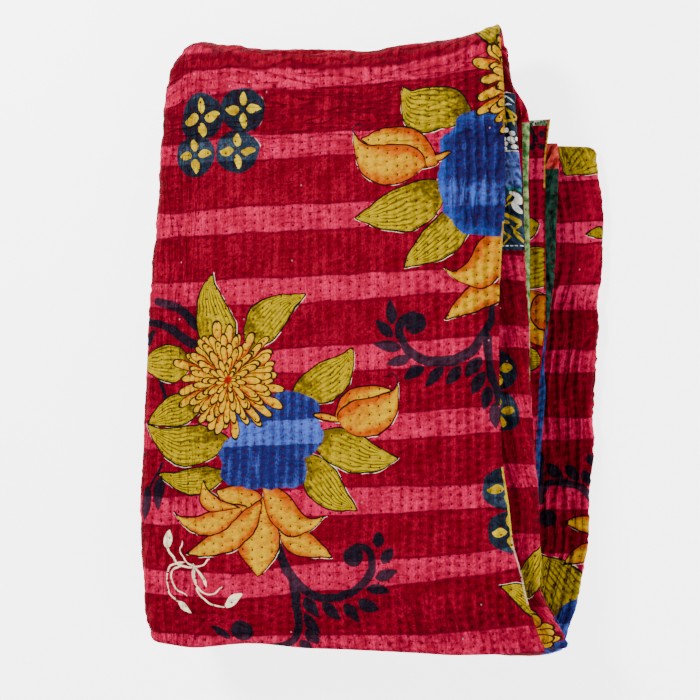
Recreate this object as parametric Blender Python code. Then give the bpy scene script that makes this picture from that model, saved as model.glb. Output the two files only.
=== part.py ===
"""A kantha throw folded into a flat stack, as one closed solid.

The cloth is folded in four along its width and then in three along its length, so twelve
layers lie on each other. The section across the first folds is one line: four layers and
the three rounded folds that join them. It is carried along the strip's path: the top band,
a turn over the far end, the middle band, a turn under the near end, and the bottom band.
+X is the side with the hems, +Y the far end and +Z up. The tables are in millimetres and
are read by linear interpolation.
"""

import bpy
import numpy as np

for old in list(bpy.data.objects):
    bpy.data.objects.remove(old)

MM = 0.001
THICK = 3.7 * MM  # the quilted cloth, over its puffs
PITCH = 7.25 * MM  # from one layer to the next, which leaves 3.55 mm of air between them
LAYERS = 12
TURN = 2 * PITCH  # radius of a turn of the strip, at the middle of its four layers
BAND = 4 * PITCH  # from the middle of one band to that of the next
Y_OPEN = -256 * MM  # the top band's open end
Y_TOP = 244 * MM  # where the top turn begins
Y_BOTTOM = -231.5 * MM  # where the bottom turn begins
Y_LAST = 186.5 * MM  # the bottom band's open end
TOP_BAND = Y_TOP - Y_OPEN
MIDDLE_BAND = Y_TOP - Y_BOTTOM
LENGTH = TOP_BAND + MIDDLE_BAND + (Y_LAST - Y_BOTTOM) + 2 * np.pi * TURN
ROW = 7.8 * MM  # from one row of running stitches to the next
PUFF = 0.55 * MM  # how far the puffs between two rows stand up
CREASE = 1.0 * MM  # depth of the flat creases near the far fold
PUCKER = 0.9 * MM  # height of the puckers at the near end
WAVE = 1.6 * MM  # height of the long soft waves of the whole stack
SAG = {"far turn": 7 * MM, "near end": 4 * MM, "hems": 5 * MM, "wide fold": 2.5 * MM}

# The section's parts in order. s counts them: 0 to 1 is the face layer from its hem, and so on.
PARTS = ["face", "wide fold", "under", "narrow fold", "third", "inner fold", "second"]
STEPS_ACROSS = [8, 6, 6, 4, 6, 3, 5]
# Steps along the strip: from, to and how many, in mm from the top band's open end.
STEPS_ALONG = [(0, 30, 3), (30, 400, 11), (400, 500, 8), (500, 546, 7), (546, 1022, 8),
               (1022, 1068, 7), (1068, 1507, 10)]
FACE_END = 500  # mm along, where the face layer's raised rows end

# The sides along the strip. "at" runs from the top band's open end, in mm. hem1 and hem2 are
# the edges of the face layer and the second layer. fold is the middle of the narrow fold on
# the hems' side, left that of the wide fold, and inner that of the fold inside it.
SIDES = {
    "at":    [0, 10, 33, 52, 65, 92, 125, 157, 218, 297, 344, 377, 472, 500, 523, 546, 560, 566,
              580, 638, 696, 818, 910, 990, 1006, 1022, 1034, 1045, 1057, 1068, 1086, 1101, 1124,
              1145, 1171, 1213, 1264, 1286, 1320, 1340, 1362, 1375, 1419, 1457, 1473, 1486, 1507],
    "hem1":  [165, 160, 153, 148, 146, 138, 135, 130, 128, 128, 131, 134, 134, 131, 129, 134, 138,
              149, 152, 150, 151, 150, 150, 150, 150, 150, 150, 150, 150, 150, 150, 150, 151, 151,
              152, 154, 157, 159, 164, 164, 164, 164, 164, 164, 163, 167, 173],
    "hem2":  [157, 153, 148, 144, 141, 135, 131, 127, 125, 125, 128, 131, 131, 129, 126, 138,
              143.4, 145.1, 145.6, 146, 147, 147, 147, 147, 147, 148, 148, 148, 148, 150, 151,
              152, 153, 154, 155, 158, 163, 161, 165, 168, 171, 172, 174, 176, 177, 175, 172],
    "fold":  [149, 149, 151, 152, 156, 154, 153, 151, 148, 145, 143, 142, 137, 131, 127, 130,
              133.1, 134.2, 135.3, 138, 140, 144, 149, 150, 158, 170, 174, 168, 171, 178, 181,
              184, 189, 192, 193, 198, 199, 201, 204, 203, 206, 208, 209, 206, 204, 202, 198],
    "left":  [-167, -175, -177.5, -178.2, -179.2, -181.2, -182.2, -180.2, -178.2, -175.2, -172.2,
              -169.2, -164.2, -162.2, -153, -160, -159.6, -160.1, -160.6, -163, -165, -168, -168,
              -164, -163, -161, -158, -154, -156, -152, -150, -149, -148, -147, -146, -144, -142,
              -141, -141, -141, -141, -141, -141, -141, -140, -139, -137],
    "inner": [-164.5, -172.5, -175, -175.7, -176.7, -178.7, -179.7, -177.7, -175.7, -172.7,
              -169.7, -166.7, -161.7, -157, -150, -156, -154.6, -155.1, -155.6, -157, -158, -159,
              -158, -155, -153, -150, -145, -140, -135, -128, -124, -121, -118, -116, -114, -112,
              -110, -110, -110, -110, -110, -110, -110, -110, -109, -108, -107],
}

# How the open ends and the bottom turn are out of true by x, and how far the far fold bulges.
ENDS = {
    "x":      [-170, -148, -138, -123, -105, -87, -68, -44, 0, 62, 84, 127, 165, 210],
    "open":   [0, 0, 1, 2, 2, 3, 2, 0, 0, -1, -2, 0, 2, 3],
    "bottom": [0, 0, 0, 0, 0, 0, 0, 0, -1, -3, -4, -6, -4, 0],
    "last":   [14, 12, 10, 8, 6, 4, 3, 2, 1, 0, 0, 0, 0, -3],
}
FAR = {
    "x":      [-185, -170, -162, -153, -144, -139, -122, -114, -96, -56, -15, 9, 25, 66, 82,
               107, 126, 133, 150],
    "bulge":  [2, 8, 13, 17, 18, 17, 11, 12, 6, 4, 2, -1, 1, 5, 5, 9, 17, 14, 4],
}
# How far each place of the section reaches past the two open ends.
REACH = {
    "s":      [0, 1, 2, 3, 4, 5, 6, 7],
    "open":   [0, 0, 5, 4, 3, 4, 4, 4],
    "last":   [20.5, 10, 2, -2, 0, 0, 1, 1],
}


def smooth(x):
    """0 below 0, 1 above 1, and eased between them."""
    x = np.clip(x, 0, 1)
    return x * x * (3 - 2 * x)


def read(table, key, column, value):
    """A column of a millimetre table at the key's value, in metres."""
    return np.interp(value / MM, table[key], table[column]) * MM


def path(at):
    """The middle of the strip, y and z, and the y and z of the way that its face layer faces."""
    over = np.clip((at - TOP_BAND) / TURN, 0, np.pi)  # angle round the top turn
    back = np.clip((at - TOP_BAND - np.pi * TURN) / TURN, 0, MIDDLE_BAND / TURN) * TURN
    left = at - TOP_BAND - MIDDLE_BAND - np.pi * TURN
    under = np.clip(left / TURN, 0, np.pi)  # angle round the bottom turn
    y = Y_OPEN + np.minimum(at, TOP_BAND) + TURN * np.sin(over)
    y = y - back - TURN * np.sin(under) + np.maximum(left - np.pi * TURN, 0)
    low = 1.5 * PITCH + THICK / 2  # the bottom band's middle, with its last layer on the floor
    z = low + BAND * (1 + np.cos(over)) / 2 + BAND * (1 + np.cos(under)) / 2
    return y, z, np.sin(over - under), np.cos(over - under)


def section(s, at, side):
    """x and height above the strip's middle, for a place s of the section.

    side is +1 on the printed side of the cloth and -1 on its backing. A layer is a line at
    its own height. A fold is half a circle from one layer to the next.
    """
    k = min(int(s), len(PARTS) - 1)
    part, f, half = PARTS[k], s - k, side * THICK / 2
    hem1, hem2, fold, left, inner = (
        read(SIDES, "at", n, at) for n in ("hem1", "hem2", "fold", "left", "inner"))
    if part == "face":
        return hem1 + (left - hem1) * f, 1.5 * PITCH + half
    if part == "wide fold":
        r = 1.5 * PITCH + half
        return left - r * np.sin(np.pi * f), r * np.cos(np.pi * f)
    if part == "under":
        return left + (fold - left) * f, -1.5 * PITCH - half
    if part == "narrow fold":
        r = 0.5 * PITCH + half
        return fold + r * np.sin(np.pi * f), -PITCH - r * np.cos(np.pi * f)
    if part == "third":
        return fold + (inner - fold) * f, -0.5 * PITCH + half
    if part == "inner fold":
        r = 0.5 * PITCH - half
        return inner - r * np.sin(np.pi * f), -r * np.cos(np.pi * f)
    return inner + (hem2 - inner) * f, 0.5 * PITCH - half


def warp(x, y, z):
    """Gives the stack its bulging far fold, sag and waves, and leaves the bottom layer flat.

    Each term grows smoothly with height, so layers that lie on each other stay apart.
    """
    up = z / ((LAYERS - 1) * PITCH + THICK)
    far = smooth((y - 190 * MM) / (60 * MM))
    near = smooth((-y - 190 * MM) / (60 * MM)) * (1 - smooth((z - 46 * MM) / (12 * MM)))
    sag = SAG["far turn"] * smooth((y - 205 * MM) / (45 * MM)) * smooth(z / (28 * MM))
    sag = sag + SAG["near end"] * smooth((-y - 215 * MM) / (45 * MM)) * up
    sag = sag + SAG["hems"] * smooth((x - 95 * MM) / (70 * MM)) * smooth((up - 0.45) / 0.5)
    sag = sag + SAG["wide fold"] * smooth((-x - 120 * MM) / (60 * MM)) * up ** 2
    wave = WAVE * np.sin(x / (41 * MM) + 1.1 * np.sin(y / (83 * MM))) * np.sin(y / (67 * MM) + 0.6)
    y = y + read(FAR, "x", "bulge", x) * far + read(ENDS, "x", "bottom", x) * near
    return x, y, z - sag + wave * up ** 1.5


def line(s, at, side):
    """The points of the line along the strip at a place s of the section."""
    x, height = section(s, at, side)
    open_end = np.interp(s, REACH["s"], REACH["open"]) * MM - read(ENDS, "x", "open", x)
    last_end = np.interp(s, REACH["s"], REACH["last"]) * MM + read(ENDS, "x", "last", x)
    at = at - open_end * (1 - smooth(at / (60 * MM)))
    at = at + last_end * smooth((at - LENGTH) / (90 * MM) + 1)
    y, z, face_y, face_z = path(at)
    return np.stack(warp(x, y + height * face_y, z + height * face_z), axis=-1)


def relief(f, x, y):
    """How far the face layer's top stands up or in: rows of puffs, creases and puckers.

    The rows run along the strip, a ridge at every other line of points. Flat creases cross
    them near the far fold, and short slanting puckers gather at the near end.
    """
    row = np.where(np.arange(len(f))[:, None] % 2, PUFF, -PUFF)
    row = row * (0.8 + 0.25 * np.sin(y / (31 * MM) + 9 * f))
    crease = CREASE * np.sin((y + 0.07 * x) / (5.2 * MM) + 1.3 * np.sin(x / (29 * MM)))
    crease = crease * np.exp(-((y - 196 * MM) / (30 * MM)) ** 2)
    crease = crease * (0.35 + 0.65 * np.exp(-((x - 15 * MM) / (90 * MM)) ** 2))
    pucker = PUCKER * np.sin((x + 0.55 * y) / (4.6 * MM)) * smooth((-y - 222 * MM) / (24 * MM))
    pucker = pucker * smooth((y - Y_OPEN) / (9 * MM))
    return (row + crease + pucker) * (1 - smooth((y - 186 * MM) / (44 * MM)))


def with_rows(coarse, at):
    """The face layer of the top band again, with a ridge for each row between its stitches."""
    steps = len(coarse) - 1
    width = (read(SIDES, "at", "hem1", at) - read(SIDES, "at", "left", at)).mean()
    rows = steps * int(round(width / ROW / steps))  # a whole number of rows in each step
    f = np.linspace(0, steps, 2 * rows + 1)[:, None]
    k = np.minimum(f.astype(int), steps - 1)[:, 0]
    f = f - k[:, None]
    fine = coarse[k] * (1 - f[..., None]) + coarse[k + 1] * f[..., None]
    lift = relief((f + k[:, None]) / steps, fine[..., 0], fine[..., 1])
    fine[1:-1, 1:, 2] += lift[1:-1, 1:]  # the open end itself is sewn down flat
    return fine


def number(grid, points):
    """Adds a grid of points to the list and returns their numbers in the same layout."""
    first = sum(len(p) for p in points)
    points.append(grid.reshape(-1, 3))
    return first + np.arange(len(points[-1])).reshape(grid.shape[:2])


def skin(ids):
    """Two triangles for each cell of a grid of point numbers."""
    a, b, c, d = ids[:-1, :-1], ids[1:, :-1], ids[1:, 1:], ids[:-1, 1:]
    return np.concatenate([np.stack(t, -1).reshape(-1, 3) for t in ((a, b, c), (a, c, d))])


def seam(one, two):
    """Triangles between two lines of points, which may have different numbers of points."""
    i, j, out = 0, 0, []
    m, n = len(one) - 1, len(two) - 1
    while i < m or j < n:
        if j == n or (i < m and (2 * i + 1) * n <= (2 * j + 1) * m):
            out.append((one[i], one[i + 1], two[j]))
            i += 1
        else:
            out.append((one[i], two[j + 1], two[j]))
            j += 1
    return np.array(out)


def make_quilt():
    """The mesh of the folded cloth: two skins a cloth's thickness apart, joined at the edges."""
    stretch = LENGTH / STEPS_ALONG[-1][1]
    runs = [np.linspace(a, b, n + 1)[1:] for a, b, n in STEPS_ALONG]
    at = np.concatenate([[0.0], *runs]) * stretch
    across = [np.linspace(k, k + 1, n + 1)[:-1] for k, n in enumerate(STEPS_ACROSS)]
    across = np.concatenate([*across, [len(PARTS)]])
    printed = np.stack([line(s, at, +1) for s in across])
    backing = np.stack([line(s, at, -1) for s in across])
    face = STEPS_ACROSS[0] + 1  # the lines of the face layer, its hem and its fold included
    top = sum(n for a, b, n in STEPS_ALONG if b <= FACE_END) - 1
    fine = with_rows(printed[:face, :top], at[:top])

    points = []
    p, q = number(printed, points), number(backing, points)
    r = np.concatenate([p[:1, :top], number(fine[1:-1], points), p[face - 1:face, :top]])
    faces = np.concatenate([
        skin(q)[:, ::-1], skin(p[face - 1:]), skin(p[:face, top:]), skin(r),
        seam(p[:face, top], r[:, -1])[:, ::-1],  # where the raised rows end
        seam(r[:, 0], q[:face, 0])[:, ::-1],  # the top band's open end, in two parts
        seam(p[face - 1:, 0], q[face - 1:, 0])[:, ::-1],
        seam(p[:, -1], q[:, -1]),  # the bottom band's open end
        seam(p[0], q[0]),  # the face layer's hem
        seam(p[-1], q[-1])[:, ::-1],  # the second layer's hem
    ])
    used, faces = np.unique(faces, return_inverse=True)
    points = np.concatenate(points)[used]
    points[:, :2] -= (points[:, :2].min(0) + points[:, :2].max(0)) / 2
    points[:, 2] = np.maximum(points[:, 2], 0)
    return points, faces.reshape(-1, 3)[:, ::-1]


points, faces = make_quilt()
mesh = bpy.data.meshes.new("quilt")
mesh.from_pydata(points.tolist(), [], faces.tolist())
mesh.shade_smooth()
mesh.set_sharp_from_angle(angle=np.radians(50))
quilt = bpy.data.objects.new("quilt", mesh)
bpy.context.collection.objects.link(quilt)

cotton = bpy.data.materials.new("quilted_cotton")
cotton.use_nodes = True
shader = cotton.node_tree.nodes["Principled BSDF"]
shader.inputs["Base Color"].default_value = (0.36, 0.012, 0.045, 1)
shader.inputs["Roughness"].default_value = 0.85
shader.inputs["Metallic"].default_value = 0
mesh.materials.append(cotton)
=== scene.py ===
"""A kantha throw folded into a flat stack: its printed face, pieced back, patch and stitches.

Lengths are in millimetres until a mesh is made. +X is the side with the hems, +Y the far
fold and +Z up.
"""

import bpy
import numpy as np
from mathutils import Matrix, Vector


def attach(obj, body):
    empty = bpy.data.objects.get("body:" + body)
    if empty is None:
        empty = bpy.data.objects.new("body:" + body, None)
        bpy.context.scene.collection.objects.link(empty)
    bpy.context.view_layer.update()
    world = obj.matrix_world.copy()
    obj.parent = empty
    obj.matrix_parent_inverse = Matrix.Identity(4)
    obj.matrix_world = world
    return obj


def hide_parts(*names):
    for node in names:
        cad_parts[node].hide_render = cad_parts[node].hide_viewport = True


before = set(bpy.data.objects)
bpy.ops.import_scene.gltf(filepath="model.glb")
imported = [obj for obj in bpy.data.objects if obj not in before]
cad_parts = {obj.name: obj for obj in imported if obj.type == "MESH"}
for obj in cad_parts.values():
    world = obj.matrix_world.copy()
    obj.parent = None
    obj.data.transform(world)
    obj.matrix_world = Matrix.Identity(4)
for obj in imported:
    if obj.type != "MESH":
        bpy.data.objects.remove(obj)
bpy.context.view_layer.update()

# ---- The printed face -------------------------------------------------------------------
# One cotton cloth with a hand-printed ground of crimson and pink bands, quilted all over and
# folded in four across and in three along. Twelve layers lie on each other, its hems are
# turned in and sewn, and its printed face is the outside of the folds that show.

THICK = 3.7  # the quilted cloth, over its puffs
PITCH = 7.25  # from one layer to the next
LAYERS = 12
TURN = 2 * PITCH  # radius of a turn of the folded strip, at the middle of its four layers
BAND = 4 * PITCH  # from the middle of one band of four layers to that of the next
Y_OPEN, Y_TOP = -256, 244  # the top band's open end, and where the far turn begins
Y_BOTTOM, Y_LAST = -231.5, 186.5  # where the near turn begins, and the last band's open end
TOP_BAND, MIDDLE_BAND, LAST_BAND = Y_TOP - Y_OPEN, Y_TOP - Y_BOTTOM, Y_LAST - Y_BOTTOM
HALF_TURN = np.pi * TURN
LENGTH = TOP_BAND + MIDDLE_BAND + LAST_BAND + 2 * HALF_TURN
BOX_MIDDLE = (9.66, 11.87, 0)  # the tables' origin is this far from the middle of the box
SAG = {"far turn": 7, "near end": 4, "hems": 5, "wide fold": 2.5}
WAVE = 1.6  # height of the long soft waves of the whole stack
CORNER = 6.0  # the tables' corners are eased over by about this much

# Where the hems and the folds run, by the distance along the strip from the top band's open
# end. hem1 and hem2 are the edges of the face layer and the second layer. fold is the middle
# of the narrow fold on the hems' side, left that of the wide fold, inner the one inside it.
SIDES = {
    "at":    [0, 10, 33, 52, 65, 92, 125, 157, 218, 297, 344, 377, 472, 500, 523, 546, 560, 566,
              580, 638, 696, 818, 910, 990, 1006, 1022, 1034, 1045, 1057, 1068, 1086, 1101, 1124,
              1145, 1171, 1213, 1264, 1286, 1320, 1340, 1362, 1375, 1419, 1457, 1473, 1486, 1507],
    "hem1":  [165, 160, 153, 148, 146, 138, 135, 130, 128, 128, 131, 134, 134, 131, 129, 131, 134,
              146, 152, 150, 151, 150, 150, 150, 150, 150, 150, 150, 150, 150, 150, 150, 151, 151,
              152, 154, 157, 159, 164, 164, 164, 164, 164, 165, 168, 170, 173],
    "hem2":  [157, 153, 148, 144, 141, 135, 131, 127, 125, 125, 128, 131, 131, 129, 126, 131,
              136, 140, 145.6, 146, 147, 147, 147, 147, 147, 148, 148, 148, 148, 150, 151,
              152, 153, 154, 155, 158, 163, 161, 165, 168, 171, 172, 174, 176, 177, 175, 172],
    "fold":  [177, 174, 161, 151.5, 156, 154, 153, 151, 148, 145, 143, 141.5, 136, 129.5, 129, 130,
              131.5, 132.5, 134, 138, 140, 144, 149, 150, 158, 170, 174, 170, 173.5, 180.5, 184,
              187, 191.5, 193.5, 194, 198, 199, 201, 204, 203, 206, 208, 209, 206, 204, 202, 198],
    "left":  [-167, -175, -177.5, -178.2, -179.2, -181.2, -182.2, -180.2, -178.2, -175.2, -172.2,
              -169.2, -164.2, -162.2, -153, -160, -159.6, -160.1, -160.6, -163, -165, -168, -168,
              -164, -163, -161, -158, -154, -156, -152, -150, -149, -148, -147, -146, -144, -142,
              -141, -141, -141, -141, -141, -141, -141, -140, -139, -137],
    "inner": [-164.5, -172.5, -175, -175.7, -176.7, -178.7, -179.7, -177.7, -175.7, -172.7,
              -169.7, -166.7, -161.7, -157, -150, -156, -154.6, -155.1, -155.6, -157, -158, -159,
              -158, -155, -153, -150, -145, -140, -135, -128, -124, -121, -118, -116, -114, -112,
              -110, -110, -110, -110, -110, -110, -110, -110, -109, -108, -107],
}
# How the open ends and the near turn are out of true by x, and how far the far fold bulges.
ENDS = {
    "x":      [-170, -148, -138, -123, -105, -87, -68, -44, 0, 62, 84, 127, 160, 173, 210],
    "open":   [0, -3, -3, -1, 1.5, 3, 2, 0, 0, -1, -2, 0, 2, 2, 3],
    "bottom": [0, 0, 0, 0, 0, 0, 0, 0, -1, -3, -4, -6, -5, 1, 3],
    "last":   [14, 12, 10, 8, 6, 4, 3, 2, 1, 0, 0, 0, 0, 0, -3],
}
FAR = {
    "x":      [-185, -170, -162, -154, -146, -139, -122, -114, -96, -56, -15, 9, 25, 66, 82,
               107, 126, 133, 150],
    "bulge":  [2, 8, 13, 18, 19.5, 17.5, 12, 15, 7.5, 4.5, 2, -1, 1, 5, 5, 9, 17, 14, 4],
}
# How far each place of the section reaches past the two open ends.
REACH = {
    "s":      [0, 1, 2, 3, 4, 5, 6, 7],
    "open":   [0, 0, -1, -2, -2, -3, -3, -3],
    "last":   [20.5, 10, 2, -2, 0, 0, 1, 1],
}


def smooth(x):
    """0 below 0, 1 above 1, and eased between them."""
    x = np.clip(x, 0, 1)
    return x * x * (3 - 2 * x)


def read(table, column, place, corner=CORNER):
    """A table's column at these places, averaged over a bell curve so that it has no corners."""
    key = table[next(iter(table))]
    even = np.arange(key[0] - 4 * corner, key[-1] + 4 * corner)
    reach = np.arange(-3 * corner, 3 * corner + 1)
    weight = np.exp(-0.5 * (reach / corner) ** 2)
    raw = np.pad(np.interp(even, key, table[column]), len(weight) // 2, mode="edge")
    return np.interp(place, even, np.convolve(raw, weight / weight.sum(), "valid"))


def path(at):
    """The middle of the strip, y and z, and the y and z of the way that its face layer faces.

    The strip runs straight along each band, and round half a circle at each turn.
    """
    far_turn = np.clip((at - TOP_BAND) / TURN, 0, np.pi)
    middle = np.clip(at - TOP_BAND - HALF_TURN, 0, MIDDLE_BAND)
    rest = at - TOP_BAND - MIDDLE_BAND - HALF_TURN
    near_turn = np.clip(rest / TURN, 0, np.pi)
    y = Y_OPEN + np.minimum(at, TOP_BAND) + TURN * np.sin(far_turn)
    y = y - middle - TURN * np.sin(near_turn) + np.maximum(rest - HALF_TURN, 0)
    lowest = 1.5 * PITCH + THICK / 2
    z = lowest + BAND * (1 + np.cos(far_turn)) / 2 + BAND * (1 + np.cos(near_turn)) / 2
    return y, z, np.sin(far_turn - near_turn), np.cos(far_turn - near_turn)


def section(s, at, half):
    """x, height above the strip's middle, and the width of cloth from the face layer's middle.

    s runs through the face layer, the wide fold, the under layer, the narrow fold, the third
    layer, the fold inside and the second layer, 1 for each. A layer is a line at its own
    height and a fold is half a circle. half is the way out to a face, below 0 on the back.
    """
    k = np.clip(np.floor(s), 0, 6).astype(int)
    f = s - k
    hem1, hem2, fold, left, inner = (
        read(SIDES, name, at) for name in ("hem1", "hem2", "fold", "left", "inner"))
    wide, narrow, inside = 1.5 * PITCH + half, 0.5 * PITCH + half, 0.5 * PITCH - half
    sine, cosine = np.sin(np.pi * f), np.cos(np.pi * f)
    x = np.choose(k, [
        hem1 + (left - hem1) * f, left - wide * sine, left + (fold - left) * f,
        fold + narrow * sine, fold + (inner - fold) * f, inner - inside * sine,
        inner + (hem2 - inner) * f])
    height = np.choose(k, [
        1.5 * PITCH + half, wide * cosine, -1.5 * PITCH - half, -PITCH - narrow * cosine,
        -0.5 * PITCH + half, -inside * cosine, 0.5 * PITCH - half])
    round_wide, round_narrow = 1.5 * np.pi * PITCH, 0.5 * np.pi * PITCH
    to_under = round_wide - 2 * left
    to_third = to_under + fold + round_narrow + fold
    to_second = to_third - inner + round_narrow - inner
    width = np.choose(k, [
        -x, round_wide * f - left, to_under + x, to_under + fold + round_narrow * f,
        to_third - x, to_third - inner + round_narrow * f, to_second + x])
    return x, height, width


def warp(x, y, z):
    """Gives the stack its bulging far fold, sag and waves, and leaves the bottom layer flat."""
    up = z / ((LAYERS - 1) * PITCH + THICK)
    far = smooth((y - 190) / 60)
    near = smooth((-y - 190) / 60) * (1 - smooth((z - 46) / 12))
    sag = SAG["far turn"] * smooth((y - 205) / 45) * smooth(z / 28)
    sag = sag + SAG["near end"] * smooth((-y - 215) / 45) * up
    sag = sag + SAG["hems"] * smooth((x - 95) / 70) * smooth((up - 0.45) / 0.5)
    sag = sag + SAG["wide fold"] * smooth((-x - 120) / 60) * up ** 2
    wave = WAVE * np.sin(x / 41 + 1.1 * np.sin(y / 83)) * np.sin(y / 67 + 0.6)
    y = y + read(FAR, "bulge", x) * far + read(ENDS, "bottom", x) * near
    return x, y, z - sag + wave * np.maximum(up, 0) ** 1.5


def cloth(s, at, half):
    """Points on a face of the folded cloth, and their place on the flat cloth, across and along."""
    x, height, width = section(s, at, half)
    open_end = np.interp(s, REACH["s"], REACH["open"]) - read(ENDS, "open", x)
    last_end = np.interp(s, REACH["s"], REACH["last"]) + read(ENDS, "last", x)
    along = at - open_end * (1 - smooth(at / 60)) + last_end * smooth((at - LENGTH) / 90 + 1)
    y, z, face_y, face_z = path(along)
    points = warp(x, y + height * face_y, z + height * face_z)
    return np.stack(np.broadcast_arrays(*points), -1), width, along


def lumps(u, v, size, seed):
    """Soft random hills about this size, from -1 to 1: random knots with eased ground between."""
    knots = np.random.default_rng(seed).uniform(-1, 1, (128, 128))
    u, v = np.asarray(u) / size, np.asarray(v) / size
    i, j = np.floor(u).astype(int), np.floor(v).astype(int)
    f, g = smooth(u - i), smooth(v - j)
    i, j, i1, j1 = i % 128, j % 128, (i + 1) % 128, (j + 1) % 128
    near = knots[i, j] * (1 - f) + knots[i1, j] * f
    return near * (1 - g) + (knots[i, j1] * (1 - f) + knots[i1, j1] * f) * g


def hills(u, v, *layers):
    """Soft random hills of several kinds, each given as its height, size and seed."""
    return sum(height * lumps(u, v, size, seed) for height, size, seed in layers)


def valleys(u, v, length, apart, seed):
    """Thin winding creases that run along u, this long and far apart: 1 in each, 0 between."""
    return smooth((0.3 - np.abs(lumps(u * apart / length, v, apart, seed))) / 0.3)


ROW = 8.6  # from one row of running stitches to the next
STITCH = 7.5  # from one stitch to the next in its row
SHIFT, SHIFT_STEP = 0.23, 2.4  # how far the stitches of neighbouring rows are out of step
RIDGE, PUCKER, DIMPLE, LUMP, CRINKLES = 0.2, 0.24, 0.2, 0.5, (0.26, 0.46)  # heights
HEM_RIDGE, HEM_WIDE, HEM_AT = 0.7, 2.6, 3.8  # the turned hem: height, width and place from the edge
HEM_SEAM, SEAM_WIDE, SEAM_AT = 0.6, 1.7, 8.5  # the row of stitches that holds it
TWIST, TWIST_WIDE, TWIST_AT = 0.7, 8, -249  # the twisted row at the near end of the face layer
LOOSE_BAND = 1100  # the cloth is puffier from here on along the strip
DEEPEST, DEEPEST_BY_EDGE = 1.5, 0.75  # so that the two faces never meet
QUILTED = 1.15  # all of the quilting is this much stronger


def stitch_place(u, v):
    """Rows and stitches counted over the flat cloth: whole numbers lie on a row and at a hole."""
    row = (u + hills(u, v, (2.1, 60, 3), (0.9, 14, 4))) / ROW
    return row, (v + hills(u, v, (1.3, 19, 5), (2.0, 75, 6))) / STITCH


def bell(off, wide):
    """1 where off is 0, and down to a third of it this far to each side."""
    return np.exp(-(off / wide) ** 2)


def quilting(u, v, x, top):
    """Height of the quilting's puffs, in mm.

    A cosine over the rows gives soft ridges between them, bell curves pull a dimple at each
    hole, and a cosine over the stitches, strong only by the row, gathers cross puckers. Random
    crinkles and lumps come on top. All but the dimples and the lumps grow with how puffy the
    cloth is there.
    """
    row, stitch = stitch_place(u, v)
    number = np.round(row)
    off, step = row - number, stitch + 0.5 * number + SHIFT * np.sin(SHIFT_STEP * number)
    puffy = 0.6 + 0.5 * lumps(u, v, 44, 7) + 0.5 * smooth((x - 60) / 70) * top
    puffy = puffy + 0.5 * (v > LOOSE_BAND)
    ridge = -RIDGE * np.cos(2 * np.pi * row) * puffy
    pucker = -PUCKER * np.cos(2 * np.pi * step + 1.6 * lumps(u, v, 12, 20)) * bell(off, 0.4) * puffy
    dimple = -DIMPLE * bell(off, 0.2) * bell(step - np.round(step), 0.22)
    crinkle = CRINKLES[0] * lumps(u, v / 2.4, 3.8, 8) + CRINKLES[1] * lumps(u / 2.6, v, 3.6, 15)
    return ridge + pucker + dimple + crinkle * (0.7 + 0.6 * puffy) + LUMP * lumps(u, v, 20, 9)


def creasing(x, y):
    """Height of the face layer's creases, in mm.

    Valleys lie flat by the far fold, slant at the near end, and run along both sides. Each kind
    grows in over its own part, and a slanting cosine makes the twisted row at the near end.
    """
    far = smooth((y - 150) / 55)
    near = smooth((-y - 170) / 60) * smooth((x + 60) / 120) + smooth((-y - 232) / 16)
    hems = smooth((x - 30) / 90)
    wide_fold = smooth((-x - 118) / 40) * (0.7 + 0.3 * lumps(x, y, 34, 13))
    high = far * (0.5 + 0.8 * lumps(x / 5, y, 9, 16) - valleys(x, y - 0.05 * x, 70, 12, 10))
    high = high - 0.7 * near * valleys(y - 0.3 * x, x + 0.3 * y, 44, 11, 12)
    high = high - 0.6 * hems * valleys(y, x, 50, 12, 17) - 0.7 * wide_fold * valleys(y, x, 60, 9, 14)
    twist = np.cos(2 * np.pi * (x + 0.5 * y) / ROW + 1.5 * lumps(x, y, 30, 19))
    return high + TWIST * twist * bell(y - TWIST_AT, TWIST_WIDE)


def relief(u, v, x, y, edge, top):
    """How far the face stands out, in mm: the quilting, the turned hem and the creases.

    The hem is a beaded ridge along the edge, then the groove of its stitches. top is 1 on the
    face layer, and edge is the way to the nearest hem.
    """
    beads = 1 + 0.5 * np.sin(2 * np.pi * (u + v) / STITCH + 2 * lumps(u, v, 40, 18))
    hem = HEM_RIDGE * beads * bell(edge - HEM_AT, HEM_WIDE) - HEM_SEAM * bell(edge - SEAM_AT, SEAM_WIDE)
    high = QUILTED * quilting(u, v, x, top) * smooth(edge / 5) + hem
    high = high + creasing(x, y) * smooth(edge / 9) * top
    return np.maximum(high, -np.minimum(DEEPEST_BY_EDGE * edge, DEEPEST))


def steps(*runs):
    """Places from the start of the first run to the end of the last, each (from, to, how many)."""
    return np.concatenate([[runs[0][0]], *(np.linspace(a, b, n + 1)[1:] for a, b, n in runs)])


FACE_WIDTH = 310  # of one layer, near enough to space the net

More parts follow.
